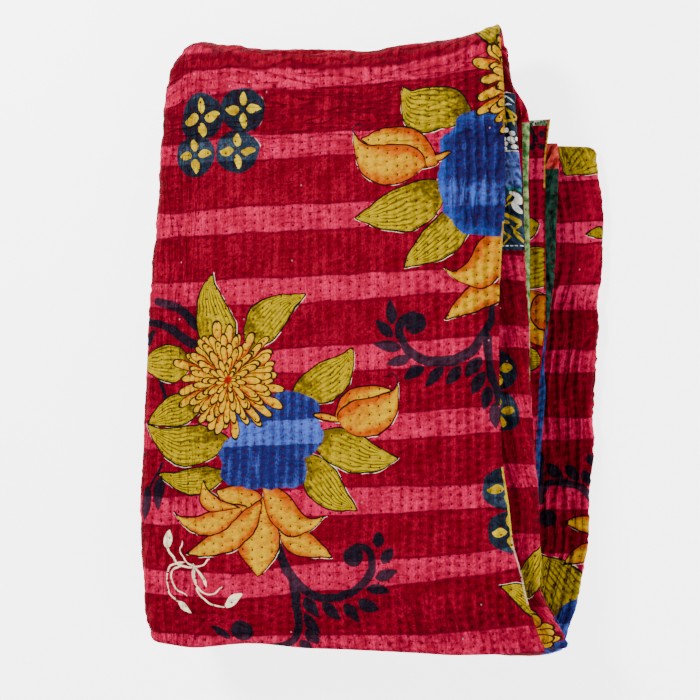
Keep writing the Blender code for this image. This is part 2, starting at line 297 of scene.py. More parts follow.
FRONT_NETS = {  # the nets that make up the face: places of the section, and places along
    "top face": (steps((0, 0.012, 4), (0.012, 1, 178), (1, 2, 14)),
                 steps((0, 5, 4), (5, 497, 300), (497, 500, 2))),
    "top inside": (steps((2.01, 2.96, 8), (2.96, 3, 2), (3, 4, 8), (4, 4.12, 14), (4.12, 5, 8),
                         (5, 6, 5), (6, 6.96, 7), (6.96, 7, 5)),
                   steps((0, 5, 4), (5, 500, 165))),
    "far turn": (steps((0, 0.012, 3), (0.012, 1, 90), (1, 2, 10), (2, 3, 10), (3, 4, 6), (4, 5, 10),
                       (5, 6, 4), (6, 6.98, 8), (6.98, 7, 3)), steps((500.5, 535, 44), (535, 546, 7))),
    "middle": (steps((0, 0.02, 3), (0.02, 1, 10), (1, 2, 8), (2, 3, 8), (3, 4, 8), (4, 5, 7),
                     (5, 6, 4), (6, 7, 7)), steps((546.5, 1021, 90))),
    "near turn": (steps((0, 1, 14), (1, 2, 8), (2, 3, 40), (3, 4, 6), (4, 5, 8), (5, 6, 4), (6, 7, 8)),
                  steps((1021.5, 1067, 20))),
    "last": (steps((0, 0.2, 10), (0.2, 1, 6), (1, 2, 8), (2, 3, 10), (3, 4, 8), (4, 4.22, 38),
                   (4.22, 5, 8), (5, 6, 4), (6, 6.8, 6), (6.8, 7, 10)),
             steps((1067.5, LENGTH - 5, 130), (LENGTH - 5, LENGTH, 4))),
}


def hem_distance(s, at):
    """How far a place lies from the nearest hem or open end."""
    return np.minimum(np.minimum(s, 7 - s) * FACE_WIDTH, np.minimum(at, LENGTH - at))


def face_net(s, at, side):
    """A net of points on the printed face, side +1, or the back, side -1, and what lies there."""
    s, at = s[:, None], at[None, :]
    edge = hem_distance(s, at)
    half = side * THICK / 2 * np.sqrt(1 - (1 - np.clip(edge / 4, 0, 1)) ** 2)
    points, u, v = cloth(s, at, half)
    outward = np.cross(np.gradient(points, axis=1), np.gradient(points, axis=0)) * side
    outward /= np.maximum(np.linalg.norm(outward, axis=-1, keepdims=True), 1e-9)
    top = (s < 2) * (1 - smooth((at - 508) / 30)) * (side > 0)
    high = relief(u, v, points[..., 0], points[..., 1], edge, top)
    points = points + outward * high[..., None]
    return points, np.broadcast_to(u, high.shape), np.broadcast_to(v, high.shape)


def weave_net(ids):
    """Two triangles for each cell of a net of point numbers."""
    a, b, c, d = ids[:-1, :-1], ids[:-1, 1:], ids[1:, 1:], ids[1:, :-1]
    return np.concatenate([np.stack(t, -1).reshape(-1, 3) for t in ((a, b, c), (a, c, d))])


def seam(one, place_one, two, place_two):
    """Triangles between two lines of points, stepping along whichever line is behind."""
    m, n = len(one) - 1, len(two) - 1
    when = np.concatenate([place_one[1:] + place_one[:-1], place_two[1:] + place_two[:-1]])
    order = np.argsort(when, kind="stable")
    first = order < m
    i, j = np.cumsum(first) - first, np.cumsum(~first) - ~first
    third = np.where(first, one[np.minimum(i + 1, m)], two[np.minimum(j + 1, n)])
    return np.stack([one[i], third, two[j]], -1)


def face_of_cloth(nets, side):
    """Points, triangles and flat places of a whole face: every net, and the seams between them."""
    points, places, ids, count = [], [], {}, 0
    for name, (s, at) in nets.items():
        p, u, v = face_net(s, at, side)
        ids[name] = np.arange(u.size).reshape(u.shape) + count
        count += u.size
        points.append(p.reshape(-1, 3))
        places.append(np.stack([u, v, hem_distance(s[:, None], at)], -1).reshape(-1, 3))
    faces = [weave_net(n) for n in ids.values()]
    (s1, at1), (s2, at2) = nets["top face"], nets["top inside"]
    faces.append(seam(ids["top face"][-1], at1, ids["top inside"][0], at2))
    line = np.concatenate([ids["top face"][:, -1], ids["top inside"][:, -1]])
    s = np.concatenate([s1, s2])
    for name in ("far turn", "middle", "near turn", "last"):
        faces.append(seam(line, s, ids[name][:, 0], nets[name][0])[:, ::-1])
        line, s = ids[name][:, -1], nets[name][0]
    faces = np.concatenate(faces)
    return np.concatenate(points) - BOX_MIDDLE, faces[:, ::side], np.concatenate(places)


def cloth_object(name, points, faces):
    """A smooth-shaded object from points in mm and triangles."""
    mesh = bpy.data.meshes.new(name)
    mesh.vertices.add(len(points))
    mesh.vertices.foreach_set("co", (points * 0.001).astype(np.float32).ravel())
    mesh.loops.add(faces.size)
    mesh.loops.foreach_set("vertex_index", faces.astype(np.int32).ravel())
    mesh.polygons.add(len(faces))
    mesh.polygons.foreach_set("loop_start", np.arange(0, faces.size, 3, dtype=np.int32))
    mesh.update(calc_edges=True)
    mesh.shade_smooth()
    piece = bpy.data.objects.new(name, mesh)
    bpy.context.collection.objects.link(piece)
    return piece


points, faces, places = face_of_cloth(FRONT_NETS, +1)
points[:, 2] = np.maximum(points[:, 2], 0)
printed = cloth_object("printed_cloth", points, faces)

# The print's places are in mm too: p across and q along, which on the face layer are x and y.
P, Q = 0, 1
OUTSIDE = -99.0  # the depth where no shape lies


def print_place(places):
    """Where flat places lie on the print, across and along."""
    return -places[:, 0], places[:, 1] + Y_OPEN


def leaf(p, q, base, tip, width, bend=0.0, hook=0.0, belly=0.8):
    """Depth inside a leaf, share of the way from base to tip, and share of the way to its edge.

    Its middle line bulges to the left by bend halfway and by hook near the tip. Half its width
    is a sine of the share along to the power of belly, so that a small belly lies near the
    base. The way to its edge is above 0 on the side that lies lower right.
    """
    reach = np.hypot(tip[P] - base[P], tip[Q] - base[Q])
    way_p, way_q = (tip[P] - base[P]) / reach, (tip[Q] - base[Q]) / reach
    along = ((p - base[P]) * way_p + (q - base[Q]) * way_q) / reach
    off = (q - base[Q]) * way_p - (p - base[P]) * way_q
    t = np.clip(along, 0, 1)
    off = off - bend * 4 * t * (1 - t) - hook * 9.48 * t ** 3 * (1 - t)
    half = width / 2 * np.sin(np.pi * t ** belly) ** 0.9
    past = np.maximum(np.maximum(-along, along - 1), 0) * reach
    off = off * (1 if way_q + 0.5 * way_p < 0 else -1)
    return half - np.abs(off) - past, along, off / np.maximum(half, 0.5)


def disc(p, q, middle, wide, tall):
    """Depth inside a disc that is this far to its edge across and along, and the way to it."""
    dp, dq = (p - middle[P]) / wide, (q - middle[Q]) / tall
    return (1 - np.hypot(dp, dq)) * (wide + tall) / 2, dp, dq


def stroke(p, q, route, start, end):
    """Nothing, the signed way off a brushed line, and half its width, from start to end.

    The line is a smooth curve through the route's points, and each place is measured from the
    nearest of many points along it. A triangle clear of the line has one sign throughout.
    """
    route = np.array(route, float)
    t = np.linspace(0, len(route) - 1, 24 * (len(route) - 1) + 1)
    k = np.clip(t.astype(int), 0, len(route) - 2)
    f = (t - k)[:, None]
    bent = np.concatenate([2 * route[:1] - route[1:2], route, 2 * route[-1:] - route[-2:-1]])
    a, b, c, d = bent[k], bent[k + 1], bent[k + 2], bent[k + 3]
    line = b + 0.5 * f * (c - a + f * (2 * a - 5 * b + 4 * c - d + f * (3 * (b - c) + d - a)))
    way = np.gradient(line, axis=0)
    dp, dq = p[..., None] - line[:, P], q[..., None] - line[:, Q]
    near = np.argmin(dp ** 2 + dq ** 2, axis=-1)
    pick = near[..., None]
    dp, dq = np.take_along_axis(dp, pick, -1)[..., 0], np.take_along_axis(dq, pick, -1)[..., 0]
    off = np.hypot(dp, dq) * np.where(way[near, P] * dq - way[near, Q] * dp < 0, -1, 1)
    clear = np.abs(off).min(axis=-1, keepdims=True) > 1.5
    half = start + (end - start) * near / (len(line) - 1)
    return np.full(off.shape, OUTSIDE), np.where(clear, np.abs(off), off), half


ROOM = {leaf: 30, disc: 30, stroke: 8}  # how far around its own points a shape may matter


def stamp(corner_p, corner_q, shapes, has_strokes):
    """The three values of the shape that lies deepest at each triangle's middle, at its corners.

    In a layer that has strokes too, the third value is a stroke's half width.
    """
    out = np.zeros(corner_p.shape + (3,), np.float32)
    out[..., 0] = out[..., 2] = OUTSIDE
    best = np.full(len(corner_p), OUTSIDE)
    mid_p, mid_q = corner_p.mean(1), corner_q.mean(1)
    for make, *values in shapes:
        spots = np.array(values[0] if make is stroke else [v for v in values if np.size(v) == 2])
        low, high = spots.min(0) - ROOM[make], spots.max(0) + ROOM[make]
        near = (mid_p > low[P]) & (mid_p < high[P]) & (mid_q > low[Q]) & (mid_q < high[Q])
        near = np.nonzero(near)[0]
        found = np.stack(make(corner_p[near], corner_q[near], *values), -1)
        depth = found[..., 0]
        if make is stroke:
            depth = np.maximum(depth, found[..., 2] - np.abs(found[..., 1]))
        depth = depth.mean(1)
        wins = depth > best[near]
        best[near[wins]] = depth[wins]
        out[near[wins]] = found[wins]
        if has_strokes and make is not stroke:
            out[near[wins], :, 2] = OUTSIDE
    return out


# Leaves are written as base, tip, width, bend, hook and belly, discs as middle and reach, and
# strokes as the points of their route and half their width at its start and end.
LEAVES_BACK = [
    (leaf, (109, 197), (46, 227), 40, 0, 12, 1.1), (leaf, (103, 130), (48, 69.5), 33, 9, -3, 0.9),
    (leaf, (-119, -4), (-124, 70), 34, -2, 6.5, 0.68), (leaf, (-51, -44), (3, 2), 35, -5, -3, 0.85),
    (leaf, (-38, -90), (7, -138), 31, -6, -1, 0.75), (leaf, (-110, -106), (-175, -107), 24, 6, 2),
    (leaf, (-132, -46), (-184, -62), 28, -3), (leaf, (-143, -10), (-192, -9), 33),
    (leaf, (141, 249), (103, 271), 25), (leaf, (166, -226), (127, -198), 19, -4),
]
LEAVES_FRONT = [
    (leaf, (84, 138), (4, 115), 40, 6, 1, 0.75), (leaf, (-92, 2), (-40, 50), 33, 8, 0, 0.72),
    (leaf, (-34, -76), (42, -92), 34, -1, -5), (leaf, (-108, -77), (-185, -62), 36, 10, 5, 0.85),
    (leaf, (-518, 1236), (-558, 1202), 40), (leaf, (-525, 1149), (-546, 1149), 9),
    (leaf, (-518, 803), (-568, 864), 36, -4), (leaf, (-564, -210), (-555, -165), 25, 0),
    (leaf, (138, 1150), (160, 1156), 19), (leaf, (130, 1111), (186, 1125), 36), (disc, (148, 1036), 11, 11),
]
PETALS_BACK = [
    (leaf, (-76, -131), (-120, -122), 24, 2), (leaf, (-62, -158), (-15, -177), 23, 0, 0, 0.7),
    (leaf, (134, 50), (83, 25), 22, -4, 0, 0.7),
]
PETALS_LOW = [(leaf, (-74, -124), (-82, -194), 39, -3, 0, 1.35)]
PETALS_MID = [
    (leaf, (-78, -131), (-148, -177), 25, 9), (leaf, (136, 99), (81, 69), 33, 8, 12.5),
    (leaf, (-513, 884), (-549, 893), 15, -2), (leaf, (-513, 868), (-546, 855), 18, -4),
    (leaf, (140, 1096), (168, 1046), 44, 0),
]
PETALS_FRONT = [
    (leaf, (-92, -134), (-159, -140), 20, 9, 7, 0.85), (leaf, (-76, -118), (-19, -141), 29, -12, -8, 0.7),
]
PETALS_TOP = [(leaf, (-98, -136), (-132, -111), 15, 10, 4, 1.1)]
BUDS_BACK = [
    (leaf, (76, 160), (10, 184), 33, -6), (leaf, (-13, -60), (36, -35), 27, 3),
    (disc, (164, 1077), 14, 16), (leaf, (90, 170), (60, 159), 6), (leaf, (-32, -56), (0, -61), 6),
]
BUDS = [
    (leaf, (66, 159), (3, 190), 37, 10, 7, 0.66), (leaf, (-9, -64), (41, -28), 35, -8, -5, 0.6),
]
BLUE = [  # discs that run together: middle and reach
    (-98, -90, 18), (-97, -100, 14), (-68, -97, 22), (-52, -103, 15), (-42, -74, 18), (-45, -55, 18),
    (-58, -52, 17), (-70, -75, 25), (-84, -60, 20),
    (98, 172, 19), (97, 147, 19), (112, 115, 16), (126, 112, 17), (110, 181, 21), (128, 184, 21),
    (125, 150, 30), (106, 158, 24), (150, 140, 40), (97, 128, 17), (104, 112, 13),
    (-103, -106, 13), (-86, -108, 13),
    (-553, -247, 7), (-564, -254, 8), (-575, -258, 9), (-516, 804, 24), (-506, 826, 17), (-530, 780, 20),
]
FLOWERS = [(-109, -25), (158, 222), (-607, -247)]  # the middles of the chrysanthemums
ROUNDELS = [  # middle, its reach across and along, and how far its petals are turned, in degrees
    ((-135, 206.5), 20, 17.2, 6), ((-97, 212), 20.6, 17.2, 0), ((-141, 176), 18, 18.6, 0),
    ((-102, 178), 20, 18.8, 0), ((134, -118), 21.5, 18.5, 0), ((137, -154), 20.5, 17, 0),
    ((-570, -17), 17, 18, 0), ((-574, -53), 17, 18, 0),
]
ROUND = [(disc, middle, wide, tall) for middle, wide, tall, turned in ROUNDELS]
LENS_FROM, LENS_TO, LENS_WIDE = 0.16, 0.86, 7.8  # a roundel's petals: shares of its reach, and mm
LENSES = [
    (leaf, (m[P] + LENS_FROM * wide * np.cos(a), m[Q] + LENS_FROM * tall * np.sin(a)),
     (m[P] + LENS_TO * wide * np.cos(a), m[Q] + LENS_TO * tall * np.sin(a)), LENS_WIDE, 0, 0.95)
    for m, wide, tall, turned in ROUNDELS for a in np.radians(turned + np.array([0, 90, 180, 270]))]
INK = [  # the dark scrolls, their curls, buds and leaflets
    (stroke, [(55, 30), (49, 28), (45, 23), (43, 15), (46, 7), (52, -2), (61, -8), (72, -11), (84, -11),
              (95, -8), (105, -2)], 3.0, 5.0),
    (stroke, [(104, -3), (113, 7), (120, 18), (122, 27), (123, 39)], 5.0, 2.0),
    (disc, (57, 22), 9.5, 9.5),
    (stroke, [(119, 9), (119, -5), (120, -19), (123, -28), (125, -38), (127, -46)], 3.8, 2.4),
    (stroke, [(2, -169), (9, -168), (15, -171), (19, -179), (18, -189), (13, -198), (4, -206),
              (-11, -211)], 2.6, 3.8),
    (stroke, [(-10, -211), (-26, -212), (-38, -208), (-47, -201), (-53, -193), (-59, -182),
              (-63, -172)], 3.8, 4.4),
    (disc, (3, -177), 9, 9),
    (stroke, [(-50, -198), (-48, -211), (-46, -225), (-46, -237), (-49, -247), (-57, -253), (-70, -255)],
     4.4, 3.0),
    (stroke, [(-176, 46), (-158, 40), (-138, 24)], 3.4, 4.4),
    (stroke, [(-184, 28), (-167, 23), (-142, 8)], 3.2, 4.2),
    (stroke, [(3, 189), (2, 193), (5, 196), (9, 197), (11, 194)], 0.8, 0.5),
    (stroke, [(41, -29), (39, -23), (35, -21), (31, -24)], 0.8, 0.5),
    (stroke, [(-172, -25), (-168, -50)], 2.0, 2.0),
    (stroke, [(-171, -98), (-182, -123), (-186, -140)], 1.4, 1.0),
    (disc, (-96, -242), 10.5, 8.5),
    (leaf, (-106, -250), (-126, -238), 7), (leaf, (-172, -110), (-175, -140), 10),
    (leaf, (-182, -118), (-188, -150), 9), (leaf, (-178, 22), (-186, 2), 6),
    (stroke, [(-572, 950), (-571, 932), (-569, 912)], 3.4, 3.6),
    (stroke, [(-570, 912), (-564, 926), (-553, 928), (-542, 926), (-532, 922), (-524, 910)], 3.2, 3.2),
    (disc, (-564, 896), 8, 8), (leaf, (-534, 938), (-527, 925), 8), (leaf, (-530, 952), (-526, 940), 6),
    (stroke, [(150, 1244), (157, 1232), (152, 1222)], 1.6, 3), (leaf, (158, 1232), (170, 1242), 6),
    (leaf, (156, 1228), (171, 1222), 6),
]
LEAFLET_WIDE = 10.2
INK += [(leaf, base, tip, LEAFLET_WIDE) for base, tip in [
    ((38, 21), (36, 43)), ((38, 11), (22, 25)), ((45, 1), (20, 5)), ((54, -8), (31, -13)),
    ((65, -15), (46, -26)), ((81, -16), (66, -32)), ((97, -14), (84, -31)), ((113, -8), (100, -25)),
    ((116, -20), (104, -40)), ((119, -32), (115, -54)), ((124, -46), (125, -69)),
    ((24, -170), (25, -154)), ((28, -182), (38, -168)), ((21, -194), (42, -189)),
    ((14, -204), (36, -205)), ((7, -214), (26, -222)), ((-6, -216), (9, -232)),
    ((-24, -215), (-8, -232)), ((-41, -213), (-26, -229)), ((-41, -226), (-26, -244)),
    ((-40, -238), (-28, -252)), ((-44, -248), (-35, -258)), ((-565, 945), (-550, 929)),
    ((-550, 943), (-535, 928))]]
SPRIG = [  # the pale sprig at the near end
    (leaf, (-165, -173), (-164, -155), 7), (leaf, (-155, -219), (-142, -229), 5.5),
    (leaf, (-112, -222), (-95, -209), 7.5),
    (stroke, [(-165, -172), (-160, -182), (-155, -187), (-142, -188), (-132, -186), (-127, -181)], 0.8, 0.6),
    (stroke, [(-152, -167), (-154, -175), (-149, -183), (-141, -187)], 0.5, 0.7),
    (stroke, [(-152, -185), (-163, -188), (-166, -199), (-163, -212), (-156, -219)], 0.8, 0.6),
    (stroke, [(-152, -187), (-160, -191), (-161, -199), (-157, -207), (-148, -212)], 0.8, 0.5),
    (stroke, [(-141, -187), (-141, -197), (-137, -205), (-129, -211), (-121, -211), (-114, -206)], 0.9, 0.5),
    (stroke, [(-140, -187), (-139, -200), (-135, -211), (-126, -219), (-113, -222)], 0.9, 0.6),
    (stroke, [(-141, -187), (-134, -194), (-129, -203)], 0.8, 1.3),
]
PRINTS = {  # what is stored for the colours, in the order of printing
    "ink": INK, "roundels": ROUND, "lenses": LENSES, "leaves_back": LEAVES_BACK,
    "leaves_front": LEAVES_FRONT, "petals_back": PETALS_BACK, "petals_low": PETALS_LOW,
    "petals_mid": PETALS_MID, "petals_front": PETALS_FRONT, "petals_top": PETALS_TOP,
    "buds_back": BUDS_BACK, "buds": BUDS, "sprig": SPRIG,
}
BRUSHED = ("ink", "sprig")  # these have strokes too

# The middles of the pink bands along the print, on eight lines across it, and further along
# where they are straight.
BANDS = {
    "p":       [-560, -166, -95, -40, 13, 65, 112, 150],
    "places":  [[-228, -256, -256, -256, -255, -252, -248, -243],
                [-167, -204, -206, -195.5, -192, -185.5, -179, -171],
                [-107, -141, -135, -131, -129, -128, -126, -124],
                [-48, -75, -72, -70, -67, -64, -59.5, -59], [11, -12, -10.5, -8, -7, -4, 0, 1],
                [71, 51, 52, 53, 55, 58, 57, 57], [131, 114, 117.5, 117, 118, 118, 115, 115],
                [195, 179, 181, 181.5, 181.7, 182, 180.5, 180],
                [256, 224, 236.5, 237, 239.5, 239.5, 241.5, 241]],
    "further": [305, 366, 427, 488, 549, 610, 671, 732, 793, 854, 914, 975, 1034, 1091, 1150, 1205, 1262],
}
BAND_STEP, BAND_HALF = 61, 10.2  # from band to band, and half a band's width
BEYOND = (3, 5)  # bands counted before the first and after the last, evenly
WIDER, WIDER_AT = 1, 182  # one band is this much wider
NARROWER, NARROW_FROM, NARROW_TO = 2.2, 222, 290  # and those by the far turn this much narrower
STREAK_AT, STREAK_LONG, STREAK_HALF = (-147, 253), 5, 3.5  # the short streak on the far corner


def band_depth(p, q):
    """Depth inside the nearest pink band: bands are counted along q on each line across.

    Between the lines the count is blended, and whole numbers lie on the bands' middles. Random
    hills make the edges wander. A short streak lies on the far corner as well.
    """
    counts = []
    for k in range(len(BANDS["p"])):
        middles = [row[k] for row in BANDS["places"]] + BANDS["further"]
        numbers = [-BEYOND[0], *range(len(middles)), len(middles) - 1 + BEYOND[1]]
        middles = [middles[0] - BEYOND[0] * BAND_STEP, *middles, middles[-1] + BEYOND[1] * BAND_STEP]
        counts.append(np.interp(q, middles, numbers))
    place = np.interp(p, BANDS["p"], np.arange(len(counts)))
    k = np.clip(np.floor(place).astype(int), 0, len(counts) - 2)
    count = np.choose(k, counts) * (k + 1 - place) + np.choose(k + 1, counts) * (place - k)
    wander = hills(p, q, (0.9, 22, 21), (0.5, 7, 22), (1.5, 90, 23))
    wider = WIDER * smooth(1 - np.abs(q - WIDER_AT) / 24)
    narrower = NARROWER * smooth((q - NARROW_FROM) / 12) * (q < NARROW_TO)
    depth = BAND_HALF + wander + wider - narrower - np.abs(count - np.round(count)) * BAND_STEP
    streak = STREAK_HALF - np.hypot((p - STREAK_AT[P]) / STREAK_LONG, q - STREAK_AT[Q])
    return np.maximum(depth, streak)


def blue_depth(p, q):
    """Depth inside the blue petals: discs run together softly, with a slightly wavy edge."""
    total = np.zeros_like(p)
    for middle_p, middle_q, radius in BLUE:
        total += np.exp(np.minimum(radius - np.hypot(p - middle_p, q - middle_q), 60) / 1.2)
    return 1.2 * np.log(total + 1e-9) + hills(p, q, (2.2, 9, 24), (0.8, 3.5, 25))


def keep(mesh, name, domain, values):
    """Stores a number for each point, or a vector for each point or corner, under a name."""
    values = np.asarray(values, np.float32)
    is_vector = values.ndim > 1
    layer = mesh.attributes.new(name, "FLOAT_VECTOR" if is_vector else "FLOAT", domain)
    layer.data.foreach_set("vector" if is_vector else "value", values.ravel())


def keep_places(mesh, places):
    """Stores where each point lies on the print, and its count of rows and stitches."""
    across, along = print_place(places)
    keep(mesh, "flat", "POINT", np.stack([across, along, 0 * across], -1))
    row, stitch = stitch_place(places[:, 0], places[:, 1])
    keep(mesh, "stitches", "POINT", np.stack([row, stitch, 0 * row], -1))


across, along = print_place(places)
true_p, true_q = across[faces], along[faces]  # three corners for each triangle
# Block printing on soft cloth never runs quite true, so the shapes wander a little.
corner_p = true_p + hills(true_p, true_q, (1.2, 13, 31), (0.5, 5, 32))
corner_q = true_q + hills(true_p, true_q, (1.2, 13, 33), (0.5, 5, 34))
mesh = printed.data
for name, shapes in PRINTS.items():
    keep(mesh, name, "CORNER", stamp(corner_p, corner_q, shapes, name in BRUSHED))
middle_p, middle_q = corner_p.mean(1), corner_q.mean(1)
way_off = np.stack([np.hypot(middle_p - m[P], middle_q - m[Q]) for m in FLOWERS])
nearest = np.array(FLOWERS)[way_off.argmin(0)]
keep(mesh, "flower", "CORNER", np.stack([
    corner_p - nearest[:, None, P], corner_q - nearest[:, None, Q], np.zeros_like(corner_p)], -1))
keep(mesh, "band", "POINT", band_depth(across, along))
keep(mesh, "blue", "POINT", blue_depth(across, along))
keep(mesh, "hem", "POINT", places[:, 2])
keep_places(mesh, places)


def dye(red, green, blue):
    """A dye's colour from its 0 to 255 values on a screen."""
    c = np.array([red, green, blue]) / 255
    return (*np.where(c < 0.04045, c / 12.92, ((c + 0.055) / 1.055) ** 2.4), 1.0)


class Value:
    """A number, colour or vector in a node tree, where + - * / and abs of numbers make nodes."""

    def __init__(self, tree, socket):
        self.tree = tree
        self.socket = socket

    def __add__(self, other):
        return work_out("ADD", self, other)

    def __sub__(self, other):
        return work_out("SUBTRACT", self, other)

    def __rsub__(self, other):
        return work_out("SUBTRACT", other, self)

    def __mul__(self, other):
        return work_out("MULTIPLY", self, other)

    def __truediv__(self, other):
        return work_out("DIVIDE", self, other)

    def __abs__(self):
        return work_out("ABSOLUTE", self)


def add(tree, kind, inputs, **settings):
    """Adds a node with these settings, links or fills its inputs, and gives its outputs."""
    node = tree.nodes.new(kind)
    for name, value in settings.items():
        setattr(node, name, value)
    for key, value in inputs.items():
        if isinstance(value, Value):
            tree.links.new(value.socket, node.inputs[key])
        else:
            node.inputs[key].default_value = value
    return [Value(tree, socket) for socket in node.outputs]


def work_out(operation, *values):
    """The result of one operation on numbers, of which one or more are in a tree."""
    tree = next(value.tree for value in values if isinstance(value, Value))
    return add(tree, "ShaderNodeMath", dict(enumerate(values)), operation=operation)[0]


def step_up(value, low, high):
    """0 where the value is at low, 1 where it is at high, and eased between."""
    return add(value.tree, "ShaderNodeMapRange", {0: value, 1: low, 2: high},
               interpolation_type="SMOOTHSTEP")[0]


def between(value, low, high):
    """1 between two places and 0 outside them, with narrow soft edges."""
    return step_up(value, low - 0.3, low + 0.3) * step_up(value, high + 0.3, high - 0.3)


def over(amount, below, above):
    """One colour laid over another by this amount."""
    return add(amount.tree, "ShaderNodeMix", {0: amount, 6: below, 7: above}, data_type="RGBA")[2]


def stored_vector(tree, name):
    """The vector that is stored under this name."""
    return add(tree, "ShaderNodeAttribute", {}, attribute_name=name)[1]


def stored_number(tree, name):
    """The number that is stored under this name."""
    return add(tree, "ShaderNodeAttribute", {}, attribute_name=name)[2]


def parts(vector):
    """The three numbers of a vector."""
    return add(vector.tree, "ShaderNodeSeparateXYZ", {0: vector})


def cloudy(place, wide, long, detail=2):
    """Soft noise from about 0.3 to 0.7, with grains this wide across and long along the cloth."""
    scaled = add(place.tree, "ShaderNodeVectorMath", {0: place, 1: (1 / wide, 1 / long, 0)},
                 operation="MULTIPLY")[0]
    return add(place.tree, "ShaderNodeTexNoise", {"Vector": scaled, "Scale": 1, "Detail": detail})[0]


def brushed(tree, name, swelling=0):
    """Depth inside a layer of shapes and brushed strokes, whose strokes swell by this much."""
    depth, off, half = parts(stored_vector(tree, name))
    return work_out("MAXIMUM", depth, half - abs(off) + swelling)


def new_group(name, inputs, outputs):
    """A node group with these sockets, and the values that it is given."""
    group = bpy.data.node_groups.new(name, "ShaderNodeTree")
    for side, sockets in (("INPUT", inputs), ("OUTPUT", outputs)):
        for label, kind in sockets.items():
            group.interface.new_socket(label, in_out=side, socket_type="NodeSocket" + kind)
    return group, add(group, "NodeGroupInput", {})[:len(inputs)]


def use(group, **inputs):
    """Places a node group beside the values that it is given, and gives its results."""
    tree = next(value.tree for value in inputs.values() if isinstance(value, Value))
    return add(tree, "ShaderNodeGroup", inputs, node_tree=group)


BLACK, BARE_CLOTH = dye(14, 10, 15), dye(255, 250, 215)


def make_outlined_shape():
    """A filled shape with a black line at depth 0, over the colour under it.

    On its lower right lies a thin pale gap, a step around the depth of -1.4, where the blocks
    missed each other. Bare is the ground that no shape has covered yet.
    """
    group, (under, fill, depth, across, line, bare, missed) = new_group(
        "outlined_shape",
        {"Under": "Color", "Fill": "Color", "Depth": "Float", "Across": "Float", "Line": "Float",
         "Bare": "Float", "Missed": "Float"}, {"Colour": "Color", "Bare": "Float"})
    gap = step_up(depth, -1.5, -1.2) * step_up(across, 0.2, 0.8) * bare * missed
    colour = over(gap * 0.7, under, BARE_CLOTH)
    colour = over(step_up(depth, -0.2, 0.2), colour, fill)
    colour = over(step_up(line - abs(depth + 0.1), -0.25, 0.15), colour, BLACK)
    add(group, "NodeGroupOutput", {"Colour": colour, "Bare": step_up(depth, 0.5, -0.5) * bare})
    return group


def make_veined_fill():
    """A leaf's or a petal's colours, from dark at its base to light at its tip.

    The tone is the share along times Rise, less the share across squared times Rim, with noise
    of two sizes. Lines run its length, this many Veins to half its width, and break here and
    there.
    """
    group, (shape, place, dark, light, line, veins, strength, rise, rim, start) = new_group(
        "veined_fill",
        {"Shape": "Vector", "Place": "Vector", "Dark": "Color", "Light": "Color", "Line": "Color",
         "Veins": "Float", "Strength": "Float", "Rise": "Float", "Rim": "Float", "From": "Float"},
        {"Colour": "Color"})
    _, along, across = parts(shape)
    tone = along * rise + cloudy(place, 9, 9) * 1.1 - across * across * rim + across * 0.14
    tone = tone + (cloudy(place, 2.6, 2.6, 3) - 0.5) * 0.8
    colour = over(step_up(tone, start, 1.04), dark, light)
    lines = work_out("PINGPONG", across * veins + cloudy(place, 9, 9, 1) * 0.8, 0.5)
    broken = step_up(cloudy(place, 12, 12), 0.25, 0.55) * (step_up(along, 0.1, 0.6) * 0.7 + 0.3)
    colour = over(step_up(lines, 0.2, 0.42) * strength * broken, colour, line)
    add(group, "NodeGroupOutput", {"Colour": colour})
    return group


RINGS = [  # how far the tips reach, petals in the ring, how far it is turned, half a petal's width
    (51, 25, 0.2, 3.7), (46, 22, 0.65, 3.6), (37, 18, 0.1, 3.4), (28.5, 14, 0.5, 3.1), (20.5, 11, 0.9, 2.7),
    (13.5, 8, 0.3, 2.2), (8.5, 6, 0.6, 1.6)]
PETAL_DARK, PETAL_LIGHT, PETAL_EDGE = dye(168, 66, 0), dye(200, 150, 0), dye(30, 20, 14)
HEART, HEART_EDGE = dye(140, 14, 10), (7.0, 4.6)  # and how far from the middle it ends
LEAN_BY_CHANCE, REACH_BY_CHANCE = 0.22, 0.26  # shares of a petal's width, and of its reach
TIP_LONG = 2.9  # the oval tip's length against its width


